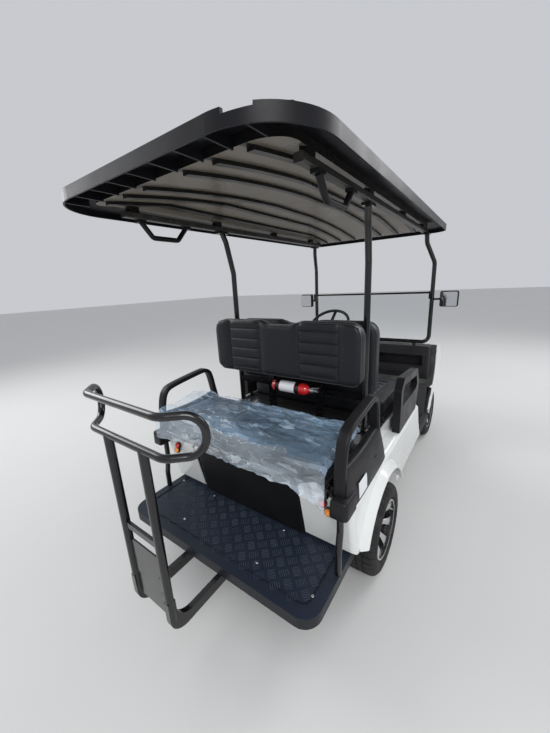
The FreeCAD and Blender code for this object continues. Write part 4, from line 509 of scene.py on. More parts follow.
def crushed_film():
    """Clear film crushed into flat facets and fine folds, hazy where it is slack; painted sky
    blue, with painted highlights on its folds.
    """
    # the film's blue is a painted reflection of the sky
    film = Shade("clear_film_painted_sky_blue", (0.43, 0.68, 0.95), 0.09, Coat_Weight=1.0,
                 Coat_Roughness=0.03)
    drawn = film.stretched((2.0, 0.55, 1.6))
    warp = film.node("ShaderNodeTexNoise", {"Scale": 6.0, "Vector": drawn})["Color"]
    small = film.node("ShaderNodeVectorMath", {0: warp, "Scale": 0.09}, operation="SCALE")
    drawn = film.node("ShaderNodeVectorMath", {0: drawn, 1: small["Vector"]},
                      operation="ADD")["Vector"]
    cloud = film.noise(3.2, 3.0, 0.5, drawn)
    # scale of the flat facets that the film is crushed into
    facets = [film.part(film.cells(scale, drawn)["Color"], 0) for scale in (9.0, 23.0)]
    facet = film.math("MULTIPLY", facets[0], facets[1])
    crease = None
    # scale of the fine folds, their width and how white they are painted, a painted highlight
    # along each fold
    for scale, width, share in ((7.0, 0.012, 0.62), (15.0, 0.016, 0.42), (31.0, 0.022, 0.24)):
        level = film.size(film.math("SUBTRACT", film.noise(scale, 2.0, 0.4, drawn), 0.5))
        fold = film.math("MULTIPLY", film.ramp(level, 0.0, width, 1.0, 0.0), share)
        crease = fold if crease is None else film.math("MAXIMUM", crease, fold)
    crease = film.math("MULTIPLY", crease, film.ramp(cloud, 0.3, 0.6, 0.45, 1.0))
    # the film grows more opaque at grazing angles, showing more of its painted sky blue: a
    # painted reflection
    facing = film.node("ShaderNodeLayerWeight", {"Blend": 0.25})["Facing"]
    haze = film.math("ADD", film.ramp(cloud, 0.40, 0.66, 0.16, 0.42),
                     film.ramp(facet, 0.25, 0.9, 0.0, 0.30))
    haze = film.math("MAXIMUM", haze, film.math("MULTIPLY", facing, 0.30))
    film.join(film.math("MAXIMUM", haze, crease), film.shader.inputs["Alpha"])
    # the folds and some flat facets are tinted white: painted highlights
    film.tint(film.math("MAXIMUM", crease, film.ramp(facet, 0.5, 0.9, 0.0, 0.5)),
              (0.86, 0.93, 0.98))
    # faces turned rearward are tinted a creamy pale: painted light on the film's rear band
    film.tint(film.ramp(film.across(0), 0.45, 0.85, 0.0, 0.55), (0.80, 0.79, 0.75))
    film.bump(facet, 0.3, 0.004)
    film.bump(film.noise(38.0, 4.0, 0.6, drawn), 0.4, 0.004)
    film.bump(crease, 0.5, 0.004)
    return film


# the solids that each shade covers, beside the tyres and rims
COVERED = {
    "chassis": "frame_rails rear_axle front_suspension",
    "steel": "rear_springs knuckle_left knuckle_right",
    "case": "battery_block headlamps",
    "white_deck": "body_rear",
    "white": "body_front",
    "dash": "dash",
    "floor": "floor_pan",
    "moulded": "front_bumper roof_handles front_seat_pan rear_armrests front_hip_rails mirrors",
    "amber": "tail_lamps",
    "roof": "roof_shell",
    "liner": "roof_liner",
    "rail": "roof_rails",
    "tube": "rear_struts windscreen_frame seat_back_frame rear_seat_frame grab_bar"
            " steering_column",
    "screen": "windscreen",
    "vinyl": "rear_seat_back front_seat_back rear_seat_cushion front_seat_cushion",
    "trim": "rear_seat_deck",
    "tub": "storage_tub",
    "step": "footplate",
    "grip": "steering_wheel",
    "pedal": "pedals",
    "red_paint": "extinguisher",
}
NODE_SHADES = {node: shade for shade, nodes in COVERED.items() for node in nodes.split()}
for corner in CORNERS:
    NODE_SHADES["tyre_" + corner] = "tyre"
    NODE_SHADES["rim_" + corner] = "rim"


def dress_nodes():
    """Gives each solid its shade."""
    for name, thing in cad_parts.items():
        material = SHADES[NODE_SHADES[name]].material
        if thing.data.materials:
            for number in range(len(thing.data.materials)):
                thing.data.materials[number] = material
        else:
            thing.data.materials.append(material)


# Padded seats

# heights of the level channels of the rear back; the front ones lie lower by a drop
CHANNELS = (1.226, 1.167, 1.110, 1.052, 0.993)
FRONT_DROP = 0.02
# a back's upright seams and the ends of its channels, and a cushion's outer seams
INNER_SEAM = 0.127
OUTER_SEAM = 0.35
CUSHION_SEAM = 0.385
# a seam's depth and width, the strip of fine grid beside it, and the cord laid in it
SEAM_DEPTH = 0.0042
SEAM_WIDTH = 0.0042
SEAM_STRIP = 0.0045
THREAD_RADIUS = 0.0015
THREAD_STEP = 0.012
WELT_RADIUS = 0.0034
# how far a seam holds the air and the crown down
PINNED_WIDTH = 0.0035
CROWN_WIDTH = 0.024
# the pad's grid, its crown between seams, and how far the gusset draws in
GRID_PITCH = 0.0155
GRID_CLOSEST = 0.0035
CROWN = 0.0045
GUSSET_DRAW = 0.003
# the cloth that a pad's air fills, the frames it takes and the most that it moves a point
CLOTH = {
    "quality": 6, "mass": 0.35, "tension_stiffness": 9.0, "compression_stiffness": 9.0,
    "shear_stiffness": 5.0, "bending_stiffness": 0.8, "use_pressure": True,
    "uniform_pressure_force": 4.0, "vertex_group_mass": "held",
}
AIR_FRAMES = 20
MOST_PUFF = 0.0085


def lines(fixed, pitch):
    """The fixed places, with even steps of about a pitch between them."""
    fixed = sorted(fixed)
    made = [fixed[0]]
    for low, high in zip(fixed, fixed[1:]):
        count = max(1, math.ceil((high - low) / pitch - 0.2))
        made.extend(low + (high - low) * k / count for k in range(1, count + 1))
    return made


def on_side(axis, level, a, b):
    """The key of a grid place on a side that lies across an axis."""
    key = [0, 0, 0]
    key[axis], key[(axis + 1) % 3], key[(axis + 2) % 3] = level, a, b
    return tuple(key)


def box_skin(xs, ys, zs):
    """The surface of a box as a grid, and the number of each grid point."""
    last = (len(xs) - 1, len(ys) - 1, len(zs) - 1)
    places = {}
    vertices = []
    faces = []

    def spot(key):
        if key not in places:
            places[key] = len(vertices)
            vertices.append(Vector((xs[key[0]], ys[key[1]], zs[key[2]])))
        return places[key]
    for axis in range(3):
        u, v = (axis + 1) % 3, (axis + 2) % 3
        for level in (0, last[axis]):
            for a in range(last[u]):
                for b in range(last[v]):
                    corners = [spot(on_side(axis, level, *place))
                               for place in rectangle(a, b, a + 1, b + 1)]
                    faces.append(tuple(corners if level else reversed(corners)))
    return vertices, faces, places


def softened(point, low, high, radius):
    """A point of a box's skin drawn onto the same box with rounded edges."""
    inner = Vector([min(max(point[n], low[n] + radius), high[n] - radius) for n in range(3)])
    out = point - inner
    return inner + out.normalized() * radius if out.length > 1e-9 else point.copy()


def to_arc(a, b):
    """Maps a unit square onto a quarter disc that keeps its two inner sides."""
    return a * math.sqrt(1 - b * b / 2), b * math.sqrt(1 - a * a / 2)


def with_corners(u, v, low, high, radii):
    """Rounds the four corners of a rectangle as seen flat. radii: low and high in v."""
    middle = (low[0] + high[0]) / 2
    top = v > (low[1] + high[1]) / 2
    radius = radii[1] if top else radii[0]
    side = 1 if u > middle else -1
    edge_u = (high[0] if side > 0 else low[0]) - side * radius
    edge_v = (high[1] if top else low[1]) - (radius if top else -radius)
    a = (u - edge_u) * side / radius
    b = (v - edge_v) * (1 if top else -1) / radius
    if a <= 0 or b <= 0:
        return u, v
    a, b = to_arc(min(a, 1.0), min(b, 1.0))
    return edge_u + side * a * radius, edge_v + (1 if top else -1) * b * radius


def from_line(u, v, start, end):
    """The distance from a flat point to a line between two points."""
    way = (end[0] - start[0], end[1] - start[1])
    length = way[0] * way[0] + way[1] * way[1]
    share = ((u - start[0]) * way[0] + (v - start[1]) * way[1]) / length
    share = min(1.0, max(0.0, share))
    return math.hypot(u - start[0] - way[0] * share, v - start[1] - way[1] * share)


def seam_fall(u, v, seams, wide):
    """How hard the seams press on a point: a seam's own share on it, and 0 far from all."""
    most = 0.0
    for start, end, depth in seams:
        gap = from_line(u, v, start, end)
        most = max(most, depth * math.exp(-(gap / wide) ** 2))
    return most


def puffed(mesh, pins):
    """Fills a closed mesh with air. Pinned points stay where they are."""
    scene = bpy.context.scene
    start = [vertex.co.copy() for vertex in mesh.vertices]
    thing = in_scene(mesh.name + "_air", mesh)
    group = thing.vertex_groups.new(name="held")
    group.add(sorted(pins), 1.0, "REPLACE")
    cloth = thing.modifiers.new("Cloth", "CLOTH")
    for key, value in CLOTH.items():
        setattr(cloth.settings, key, value)
    cloth.settings.effector_weights.gravity = 0.0
    cloth.collision_settings.use_collision = False
    cloth.point_cache.frame_start = 1
    cloth.point_cache.frame_end = AIR_FRAMES
    for number in range(1, AIR_FRAMES + 1):
        scene.frame_set(number)
    blown = thing.evaluated_get(bpy.context.evaluated_depsgraph_get())
    spots = [vertex.co.copy() for vertex in blown.to_mesh().vertices]
    blown.to_mesh_clear()
    bpy.data.objects.remove(thing)
    scene.frame_set(1)
    for vertex, before, after in zip(mesh.vertices, start, spots):
        shift = after - before
        if shift.length > 1e-7:
            shift *= MOST_PUFF * math.tanh(shift.length / MOST_PUFF) / shift.length
        vertex.co = before + shift


def refined(mesh):
    """One round of subdivision, made part of the mesh."""
    thing = in_scene("refining", mesh)
    more = thing.modifiers.new("Subdivision", "SUBSURF")
    more.levels = 1
    more.render_levels = 1
    done = thing.evaluated_get(bpy.context.evaluated_depsgraph_get())
    name = mesh.name
    made = bpy.data.meshes.new_from_object(done)
    bpy.data.objects.remove(thing)
    bpy.data.meshes.remove(mesh)
    made.name = name
    return made


def sew(mesh, name, seams, axes, into, face, body):
    """Presses narrow lines into the show side of a pad and lays a dark line in each."""
    axis, u, v = axes
    for vertex in mesh.vertices:
        if abs(vertex.co[axis] - face) < 0.020:
            vertex.co += into * SEAM_DEPTH * seam_fall(vertex.co[u], vertex.co[v], seams,
                                                       SEAM_WIDTH)
    mesh.update()
    tree = BVHTree.FromPolygons([v.co for v in mesh.vertices],
                                [tuple(p.vertices) for p in mesh.polygons])
    heap = Heap()
    for start, end, _ in seams:
        count = max(4, round(math.dist(start, end) / THREAD_STEP))
        path = []
        for k in range(count + 1):
            spot = Vector()
            spot[axis] = face - into[axis] * 0.2
            spot[u] = start[0] + (end[0] - start[0]) * k / count
            spot[v] = start[1] + (end[1] - start[1]) * k / count
            hit = tree.ray_cast(spot, into)[0]
            if hit and abs(hit[axis] - face) < 0.022:
                path.append(hit - into * 0.0002)
        if len(path) > 3:
            heap.pipe(path, THREAD_RADIUS, 6)
    heap.place(name + "_seams", "thread", body)


def grid_marks(low, high, edge, seams, u, v):
    """Grid places on each axis, closer in the rounded edges and beside the seams."""
    marks = [[low[n], low[n] + edge * 0.3, low[n] + edge * 0.65, low[n] + edge,
              high[n] - edge, high[n] - edge * 0.65, high[n] - edge * 0.3, high[n]]
             for n in range(3)]
    for start, end, _ in seams:
        for n, side in ((u, 0), (v, 1)):
            if abs(start[side] - end[side]) < 1e-6:
                marks[n].extend((start[side] - SEAM_STRIP, start[side],
                                 start[side] + SEAM_STRIP))
            else:
                marks[n].extend((start[side], end[side]))
    for n in range(3):
        kept = []
        for mark in sorted(marks[n]):
            if not kept or mark - kept[-1] > GRID_CLOSEST:
                kept.append(mark)
        kept[-1] = high[n]
        marks[n] = lines(kept, GRID_PITCH)
    return marks


def border_walk(last_u, last_v):
    """The grid places round the border of a side, in order."""
    return ([(a, 0) for a in range(last_u)] + [(last_u, b) for b in range(last_v)]
            + [(a, last_v) for a in range(last_u, 0, -1)]
            + [(0, b) for b in range(last_v, 0, -1)])


def make_welt(name, ring, axis, body):
    """A cord round a pad's show side, a little outside its border."""
    centre = sum(ring, Vector()) / len(ring)
    path = []
    for spot in ring:
        out = spot - centre
        out[axis] = 0.0
        path.append(spot + out.normalized() * 0.0008)
    welt = Heap()
    welt.pipe(path, WELT_RADIUS, 8, closed=True)
    welt.place(name + "_welt", "welt", body)


def pad(name, low, high, edge, flat_corners, show, seams, node, body, dip):
    """A seat pad with a crowned, sewn show side and a welt round it.

    show is the axis and direction of the show side. seams are lines on it, each with a
    start, an end and a share of the full depth. dip lowers the top's middle: half its
    width at the bottom and at the top, and its depth. The pad replaces a CAD solid.
    """
    axis, direction = show
    u, v = (axis + 1) % 3, (axis + 2) % 3
    marks = grid_marks(low, high, edge, seams, u, v)
    last_u, last_v = len(marks[u]) - 1, len(marks[v]) - 1
    skin, faces, places = box_skin(*marks)
    middle_u = (low[u] + high[u]) / 2
    face = high[axis] if direction > 0 else low[axis]
    depth = high[axis] - low[axis]
    pins = set()
    level = len(marks[axis]) - 1 if direction > 0 else 0
    for key, number in places.items():
        point = softened(skin[number], low, high, edge)
        reach = abs(point[axis] - face)
        if reach < 0.001 and seam_fall(point[u], point[v], seams, PINNED_WIDTH) > 0.5:
            pins.add(number)
        if reach < edge:
            away = min(1.0, seam_fall(point[u], point[v], seams, CROWN_WIDTH))
            point[axis] += direction * (CROWN * (1 - away) - CROWN * away) * (
                1 - reach / edge)
        border = key[axis] == level and (key[u] in (0, last_u) or key[v] in (0, last_v))
        if border or reach > depth * 0.62:
            pins.add(number)
        if not border:
            # the gusset draws in a little between the front welt and the back
            mid = math.sin(math.pi * min(1.0, reach / depth))
            if reach > edge * 0.4:
                for n in (u, v):
                    if abs(point[n] - low[n]) < 0.004:
                        point[n] += GUSSET_DRAW * mid
                    elif abs(point[n] - high[n]) < 0.004:
                        point[n] -= GUSSET_DRAW * mid
        a, b = with_corners(point[u], point[v], (low[u], low[v]), (high[u], high[v]),
                            flat_corners)
        if dip:
            share = min(1.0, max(0.0, (dip[1] - abs(a - middle_u)) / (dip[1] - dip[0])))
            share = share * share * (3 - 2 * share)
            rise = max(0.0, (b - low[v]) / (high[v] - low[v]))
            b -= dip[2] * share * rise * rise
        point[u], point[v] = a, b
        skin[number] = point
    ring = [skin[places[on_side(axis, level, a, b)]].copy()
            for a, b in border_walk(last_u, last_v)]
    mesh = mesh_of(name, skin, faces)
    puffed(mesh, pins)
    mesh = refined(mesh)
    into = Vector()
    into[axis] = -direction
    sew(mesh, name, seams, (axis, u, v), into, face, body)
    piece = place_piece(name, mesh, "vinyl", body, 80.0)
    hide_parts(node)
    make_welt(name, ring, axis, body)


def back_seams(low, high, channels):
    """Upright seams on both sides of a seat back, and level channels between them."""
    seams = [((side * off, low - 0.01), (side * off, high + 0.01), 1.0)
             for off in (OUTER_SEAM, INNER_SEAM) for side in (1, -1)]
    return seams + [((side * INNER_SEAM, level), (side * OUTER_SEAM, level), 0.9)
                    for level in channels for side in (1, -1)]


def cushion_seams(first, last, panels):
    """Seams along and across a cushion, and channels between its panels."""
    seams = [((first, off), (last, off), 1.0)
             for off in (CUSHION_SEAM, INNER_SEAM, -INNER_SEAM, -CUSHION_SEAM)]
    seams += [((place, -CUSHION_SEAM), (place, CUSHION_SEAM), 1.0) for place in (first, last)]
    levels = [first + (last - first) * n / panels for n in range(1, panels)]
    return seams + [((level, side * INNER_SEAM), (level, side * CUSHION_SEAM), 0.8)
                    for level in levels for side in (1, -1)]


def make_seat_pads():
    """The two backs and the two cushions."""
    # room behind and before the pad, how much lower its channels lie, and its show side
    for name, node, behind, before, drop, facing in (
            ("rear_back_pad", "rear_seat_back", 0.009, 0.001, 0.0, -1),
            ("front_back_pad", "front_seat_back", 0.001, 0.009, FRONT_DROP, 1)):
        low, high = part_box(node)
        seams = back_seams(low[2], high[2], [level - drop for level in CHANNELS])
        pad(name, Vector((low[0] + behind, low[1] + 0.006, low[2] + 0.004)),
            Vector((high[0] - before, high[1] - 0.006, high[2] - 0.004)), 0.033,
            (0.060, 0.085), (0, facing), seams, node, "chassis", (0.06, 0.15, 0.024))
    # room behind and before the seams, and the panels between them
    for name, node, body, behind, before, panels in (
            ("rear_cushion_pad", "rear_seat_cushion", "rear_seat", 0.06, 0.075, 4),
            ("front_cushion_pad", "front_seat_cushion", "front_seat", 0.075, 0.06, 5)):
        low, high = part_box(node)
        seams = cushion_seams(low[0] + behind, high[0] - before, panels)
        pad(name, Vector((low[0] + 0.004, low[1] + 0.006, low[2])),
            Vector((high[0] - 0.004, high[1] - 0.006, high[2] - 0.007)), 0.026,
            (0.045, 0.045), (2, 1), seams, node, body, None)


# the film's path is drawn in this many steps, and its grid has these across and along it
PATH_STEPS = 60
FILM_STEPS = (150, 74)


def film_profile():
    """Points of the cover from the deck's rear edge, up over the cushion and to its back."""
    low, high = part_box("rear_seat_cushion")
    rear, top, front = low[0], high[2], high[0]
    return [(rear - 0.013, low[2] - 0.030), (rear - 0.011, low[2] + 0.025),
            (rear - 0.008, top - 0.030), (rear + 0.001, top - 0.008),
            (rear + 0.020, top + 0.003), (rear + 0.070, top + 0.006),
            (rear + 0.170, top + 0.008), (rear + 0.280, top + 0.006),
            (front - 0.030, top + 0.004), (front - 0.006, top - 0.004)]


def along(points, share):
    """The point and the left-hand normal at a share of a flat path's length."""
    steps = [math.dist(a, b) for a, b in zip(points, points[1:])]
    left = share * sum(steps)
    for (a, b), step in zip(zip(points, points[1:]), steps):
        if left <= step + 1e-9:
            part = left / step
            way = ((b[0] - a[0]) / step, (b[1] - a[1]) / step)
            return (a[0] + (b[0] - a[0]) * part, a[1] + (b[1] - a[1]) * part), \
                (-way[1], way[0])
        left -= step
    return points[-1], (0.0, 1.0)


def ridge(spot, power):
    """Noise with sharp crests, 0 to 1."""
    return max(0.0, 1.0 - 2.2 * abs(noise.noise(spot))) ** power


def film_point(outline, half, s, t):
    """A point of the film: s from its right edge to its left one, t along its path."""
    y = -half + 2 * half * s
    (x, z), normal = along(outline, t)
    if normal[1] < 0:
        normal = (-normal[0], -normal[1])
    curl = max(0.0, (s - 0.90) / 0.10)
    crisp = 1.0 - 0.75 * curl
    lift = 0.0035 + 0.0120 * ridge(Vector((y * 5.2 + t * 2.6, t * 7.5 - y * 1.5, 0.7)), 1.6)
    lift += 0.0065 * crisp * ridge(Vector((y * 13.0 - t * 3.0, t * 9.0 + y * 4.0, 3.1)), 1.8)
    lift += 0.0022 * crisp * ridge(Vector((y * 34.0, t * 26.0, 9.4)), 1.6)
    lift += 0.003 * noise.noise(Vector((y * 3.0, t * 3.0, 5.5)))
    # the lower rear edge is gathered, and the left end stands up in a curl
    gather = max(0.0, 1.0 - t / 0.26)
    lift += gather * (0.004 + 0.007 * ridge(Vector((y * 22.0, t * 5.0, 1.3)), 1.4))
    lift += curl * curl * 0.034 * (0.5 + 0.9 * math.sin(t * 6.0 + 0.6) ** 2)
    end = max(0.0, (0.035 - s) / 0.035)
    drop = end * end * 0.030
    # the right rear corner hangs below the deck
    drop += 0.050 * gather * max(0.0, 1.0 - s / 0.16)
    sway = 0.006 * noise.noise(Vector((y * 6.0, 0.0, 8.8))) * gather
    return Vector((x - abs(normal[0]) * lift + sway, y, z + normal[1] * lift - drop))


def make_film():
    """The clear protective film that lies crumpled over the rear seat."""
    low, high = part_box("rear_seat_cushion")
    outline = [along(film_profile(), k / PATH_STEPS)[0] for k in range(PATH_STEPS + 1)]
    # three rounds of averaging take the corners off the outline
    for _ in range(3):
        outline = [outline[0]] + [
            tuple((outline[k - 1][n] + 2 * outline[k][n] + outline[k + 1][n]) / 4
                  for n in (0, 1)) for k in range(1, PATH_STEPS)] + [outline[-1]]
    across, deep = FILM_STEPS
    half = high[1] + 0.012
    vertices = [film_point(outline, half, i / across, k / deep)
                for i in range(across + 1) for k in range(deep + 1)]
    firsts = [i * (deep + 1) + k for i in range(across) for k in range(deep)]
    faces = [(a, a + deep + 1, a + deep + 2, a + 1) for a in firsts]
    mesh = mesh_of("seat_film", vertices, faces)
    piece = place_piece("seat_film", mesh, "film", "rear_seat", 60.0)
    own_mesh(piece)


# Wheels

# distance from the tyre's middle plane, and radius
TYRE_WALL = [(0.0700, 0.1400), (0.0780, 0.1445), (0.0850, 0.1478), (0.0935, 0.1560),
             (0.0960, 0.1600), (0.0990, 0.1615), (0.1004, 0.1660), (0.1020, 0.1760),
             (0.1022, 0.1860), (0.1006, 0.1960), (0.0965, 0.2060), (0.0900, 0.2140),
             (0.0820, 0.2190), (0.0700, 0.2214), (0.0480, 0.2222), (0.0, 0.2222)]
TREAD_EDGE = [(0.0, 0.2290), (0.056, 0.2288), (0.072, 0.2272), (0.082, 0.2240),
              (0.090, 0.2175), (0.0965, 0.2085), (0.1, 0.2000)]
# each rib of the tread: inner and outer edge from the middle plane, share filled, slant
TREAD_RIBS = [(-0.014, 0.014, 0.93, 0.10), (0.0205, 0.0455, 0.86, 0.16),
              (0.0520, 0.0975, 0.80, 0.22)]
TREAD_BLOCKS = 38
SPOKES = 8
WHEEL_NUTS = 4
NUT_CIRCLE = 0.0508


def on_curve(points, place):
    """The second number of a list of pairs at a place of the first."""
    for (a, low), (b, high) in zip(points, points[1:]):
        if place <= b:
            return low + (high - low) * (place - a) / (b - a)
    return points[-1][1]


def make_tyre_piece(corner):
    """A tyre: its wall, and blocks round the tread."""
    middle = Vector(middle_of("tyre_" + corner))
    heap = Heap()
    outline = TYRE_WALL + [(-y, r) for y, r in reversed(TYRE_WALL[:-1])]
    outline = outline + [outline[0]]
    heap.turned([(y, r) for y, r in outline], middle, (0, 1, 0), False, 112)
    turn = 2 * math.pi / TREAD_BLOCKS

    def spot(y, radius, angle):
        return middle + Vector((math.cos(angle) * radius, y, math.sin(angle) * radius))
    for side in (1, -1):
        for near, far, share, slant in TREAD_RIBS:
            if near < 0 and side < 0:
                continue
            places = [near + (far - near) * n / 5 for n in range(6)] if far > 0.09 else \
                [near, far]
            for number in range(TREAD_BLOCKS):
                start = turn * (number + (0.5 if side < 0 else 0.0) + near * 6)
                rows = []
                for step in range(4):
                    angle = start + turn * share * step / 3
                    worn = 0.0006 if step in (0, 3) else 0.0
                    row = [(side * y, on_curve(TREAD_EDGE, abs(y)) - worn,
                            angle + slant * turn * (y - near) / 0.03) for y in places]
                    rows.append([spot(*place) for place in row] + [
                        spot(y, top - 0.0100, bent) for y, top, bent in reversed(row)])
                heap.rows(rows)
    piece = heap.place("tyre_" + corner + "_tread", "tyre", "wheel_" + corner, 38.0)
    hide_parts("tyre_" + corner)


def ring_of(heap, outline, middle, axis, segments):
    """Turns a closed outline round an axis."""
    heap.turned(outline + [outline[0]], middle, axis, False, segments)


def make_rim_piece(corner):
    """A rim: barrel, hub and spokes in lacquer, their machined faces, nuts and valve."""
    middle = Vector(middle_of("rim_" + corner))
    side = 1 if middle.y > 0 else -1
    axis = Vector((0, side, 0))
    body = "wheel_" + corner
    dark = Heap()
    ring_of(dark, [(-0.0940, 0.1335), (-0.0940, 0.1485), (-0.0860, 0.1485), (-0.0845, 0.1442),
                   (0.0845, 0.1442), (0.0860, 0.1482), (0.0925, 0.1488), (0.0938, 0.1470),
                   (0.0938, 0.1400), (0.0820, 0.1385), (0.0300, 0.1340), (0.0, 0.1320)],
            middle, axis, 72)
    ring_of(dark, [(-0.0120, 0.0300), (-0.0120, 0.0640), (0.0330, 0.0640), (0.0390, 0.0600),
                   (0.0400, 0.0400), (0.0470, 0.0370), (0.0490, 0.0330), (0.0490, 0.0300)],
            middle, axis, 48)
    dark.turned([(0.0470, 0.0310), (0.0580, 0.0300), (0.0625, 0.0260), (0.0640, 0.0180),
                 (0.0645, 0.0060)], middle, axis, True, 32)
    faces = Heap()
    faces.turned([(0.0936, 0.1400), (0.0944, 0.1408), (0.0947, 0.1440), (0.0944, 0.1476),
                  (0.0934, 0.1486)], middle, axis, False, 72)
    # radius, half width and height of the face at stations along a spoke
    stations = [(0.0560, 0.0115, 0.0440), (0.0740, 0.0120, 0.0530), (0.0960, 0.0145, 0.0640),
                (0.1180, 0.0195, 0.0745), (0.1310, 0.0250, 0.0800), (0.1392, 0.0310, 0.0815)]
    for angle in angles(SPOKES, 0.5):
        way = Vector((math.cos(angle), 0, math.sin(angle)))
        cross = Vector((-math.sin(angle), 0, math.cos(angle)))
        rows = []
        plates = []
        for radius, half, height in stations:
            base = middle + way * radius

            def section_of(corners):
                return [base + cross * side_way + axis * (height - below)
                        for side_way, below in corners]
            rows.append(section_of([
                (-half, 0.0012), (half, 0.0012), (half + 0.002, 0.008), (half - 0.001, 0.030),
                (-half + 0.001, 0.030), (-half - 0.002, 0.008)]))
            flat = half - 0.0016
            plates.append(section_of([
                (-flat - 0.001, 0.0014), (-flat, 0.0), (-0.0006, -0.0009), (0.0006, -0.0009),
                (flat, 0.0), (flat + 0.001, 0.0014)]))
        dark.rows(rows)
        faces.rows(plates)
    rim = dark.place("rim_" + corner + "_lacquer", "rim", body, 32.0)
    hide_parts("rim_" + corner)
    faces.place("rim_" + corner + "_faces", "machined", body, 32.0)
    nuts = Heap()
    for angle in angles(WHEEL_NUTS):
        spot = middle + Vector((math.cos(angle), 0, math.sin(angle))) * NUT_CIRCLE \
            + axis * 0.0396
        nuts.turned([(0, 0.0105), (0.002, 0.0105), (0.003, 0.0085)], spot, axis, segments=18)
        nuts.turned([(0.002, 0.0085), (0.013, 0.0085), (0.0165, 0.0062), (0.0175, 0.003)],
                    spot, axis, segments=6)
    stem = middle + Vector((math.cos(0.2), 0, math.sin(0.2))) * 0.1300 + axis * 0.055
    nuts.turned([(0, 0.0035), (0.022, 0.0035), (0.024, 0.0045), (0.034, 0.0045),
                 (0.036, 0.0030)], stem, axis, segments=12)
    nuts.place("rim_" + corner + "_nuts", "zinc", body)


# Armrests

WEB_STEPS = 22


def section(spot, along_way, width, thick, radius):
    """A rounded rectangle across a path that runs in the XZ plane."""
    out = Vector((0, 1, 0))
    up = Vector((-along_way.z, 0, along_way.x))
    outline = rounded(rectangle(-width / 2, -thick / 2, width / 2, thick / 2), radius, 3)
    return [spot + out * a + up * b for a, b in outline]


def curve_through(points, steps):
    """A smooth open path through points."""
    spots = [Vector(point) for point in points]
    made = []
    for n in range(len(spots) - 1):
        before = spots[max(0, n - 1)]
        a, b = spots[n], spots[n + 1]
        after = spots[min(len(spots) - 1, n + 2)]
        for k in range(steps):
            t = k / steps
            made.append(0.5 * (2 * a + (b - before) * t
                               + (2 * before - 5 * a + 4 * b - after) * t * t
                               + (3 * a - before - 3 * b + after) * t * t * t))
    made.append(spots[-1])
    return made


def make_armrest_piece():
    """Moulded armrests: an arched pad on a bulged side web, with a cap at its foot."""
    heap = Heap()
    screws = Heap()
    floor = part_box("rear_armrests")[0][2]
    for side in (1, -1):
        def spot(x, y, z):
            return at(x, side * y, z)
        path = curve_through([(-0.430, 0, floor + 0.02), (-0.424, 0, 0.760),
                              (-0.408, 0, 0.860), (-0.385, 0, 0.908), (-0.345, 0, 0.928),
                              (-0.240, 0, 0.944), (-0.120, 0, 0.957), (-0.086, 0, 0.955),
                              (-0.058, 0, 0.938), (-0.042, 0, 0.900), (-0.026, 0, 0.820),
                              (-0.008, 0, 0.740), (0.012, 0, 0.650)], 6)
        rows = []
        for k, point in enumerate(path):
            way = (path[min(len(path) - 1, k + 1)] - path[max(0, k - 1)]).normalized()
            rows.append(section(spot(point.x, 0.539, point.z), way, 0.047, 0.025, 0.0095))
        heap.rows(rows)
        # the web: sections across, from the rear leg to the front leg
        rows = []
        top_rear, top_front, inner = -0.418, -0.020, 0.519
        base = floor + 0.0005
        for k in range(WEB_STEPS + 1):
            share = k / WEB_STEPS
            x_low = -0.446 + 0.488 * share
            x_top = top_rear + (top_front - top_rear) * share
            top = 0.790 - 0.016 * math.sin(math.pi * share) + 0.012 * share
            bulge = 0.024 * (1 - 0.25 * abs(2 * share - 1) ** 3)
            if k in (0, WEB_STEPS):
                bulge -= 0.006
            outline = [(0.0, inner), (0.0, 0.561 + bulge * 0.96), (0.07, 0.563 + bulge),
                       (0.30, 0.562 + bulge * 0.94), (0.60, 0.560 + bulge * 0.66),
                       (0.86, 0.559 + bulge * 0.26), (0.97, 0.556), (1.0, 0.550),
                       (1.0, inner + 0.006), (0.97, inner)]
            rows.append([spot(x_low + (x_top - x_low) * t, y, base + (top - base) * t)
                         for t, y in outline])
        heap.rows(rows)
        # the cap over the foot
        foot = rounded(rectangle(-0.477, 0.5165, -0.371, 0.5895),
                       [0.012, 0.004, 0.016, 0.024], 5)
        heap.rows([[spot(x, y, floor + 0.0002 + level) for x, y in drawn_in(foot, inset)]
                   for level, inset in ((0.0, 0.002), (0.004, 0.0), (0.066, 0.002),
                                        (0.072, 0.005), (0.0750, 0.011))])
        # two screws in the web
        for x, z in ((-0.12, 0.70), (-0.20, 0.745)):
            screws.turned([(0, 0.006), (0.0015, 0.006), (0.0025, 0.004)],
                          spot(x, 0.582, z), (0, side, 0), segments=12)
    piece = heap.place("rear_armrests_moulded", "moulded", "chassis", 48.0)
    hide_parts("rear_armrests")
    screws.place("armrest_screws", "chassis")
    # a blank label on the web
    card = Heap()
    for side in (1, -1):
        card.rows([[at(-0.345 + 0.085 * k / 6, side * y, z) for z, y in (
            (0.634, 0.5885), (0.655, 0.5880), (0.680, 0.5868), (0.700, 0.5846),
            (0.700, 0.5826), (0.634, 0.5865))] for k in range(7)])
    card.place("armrest_label", "label")


# Small parts

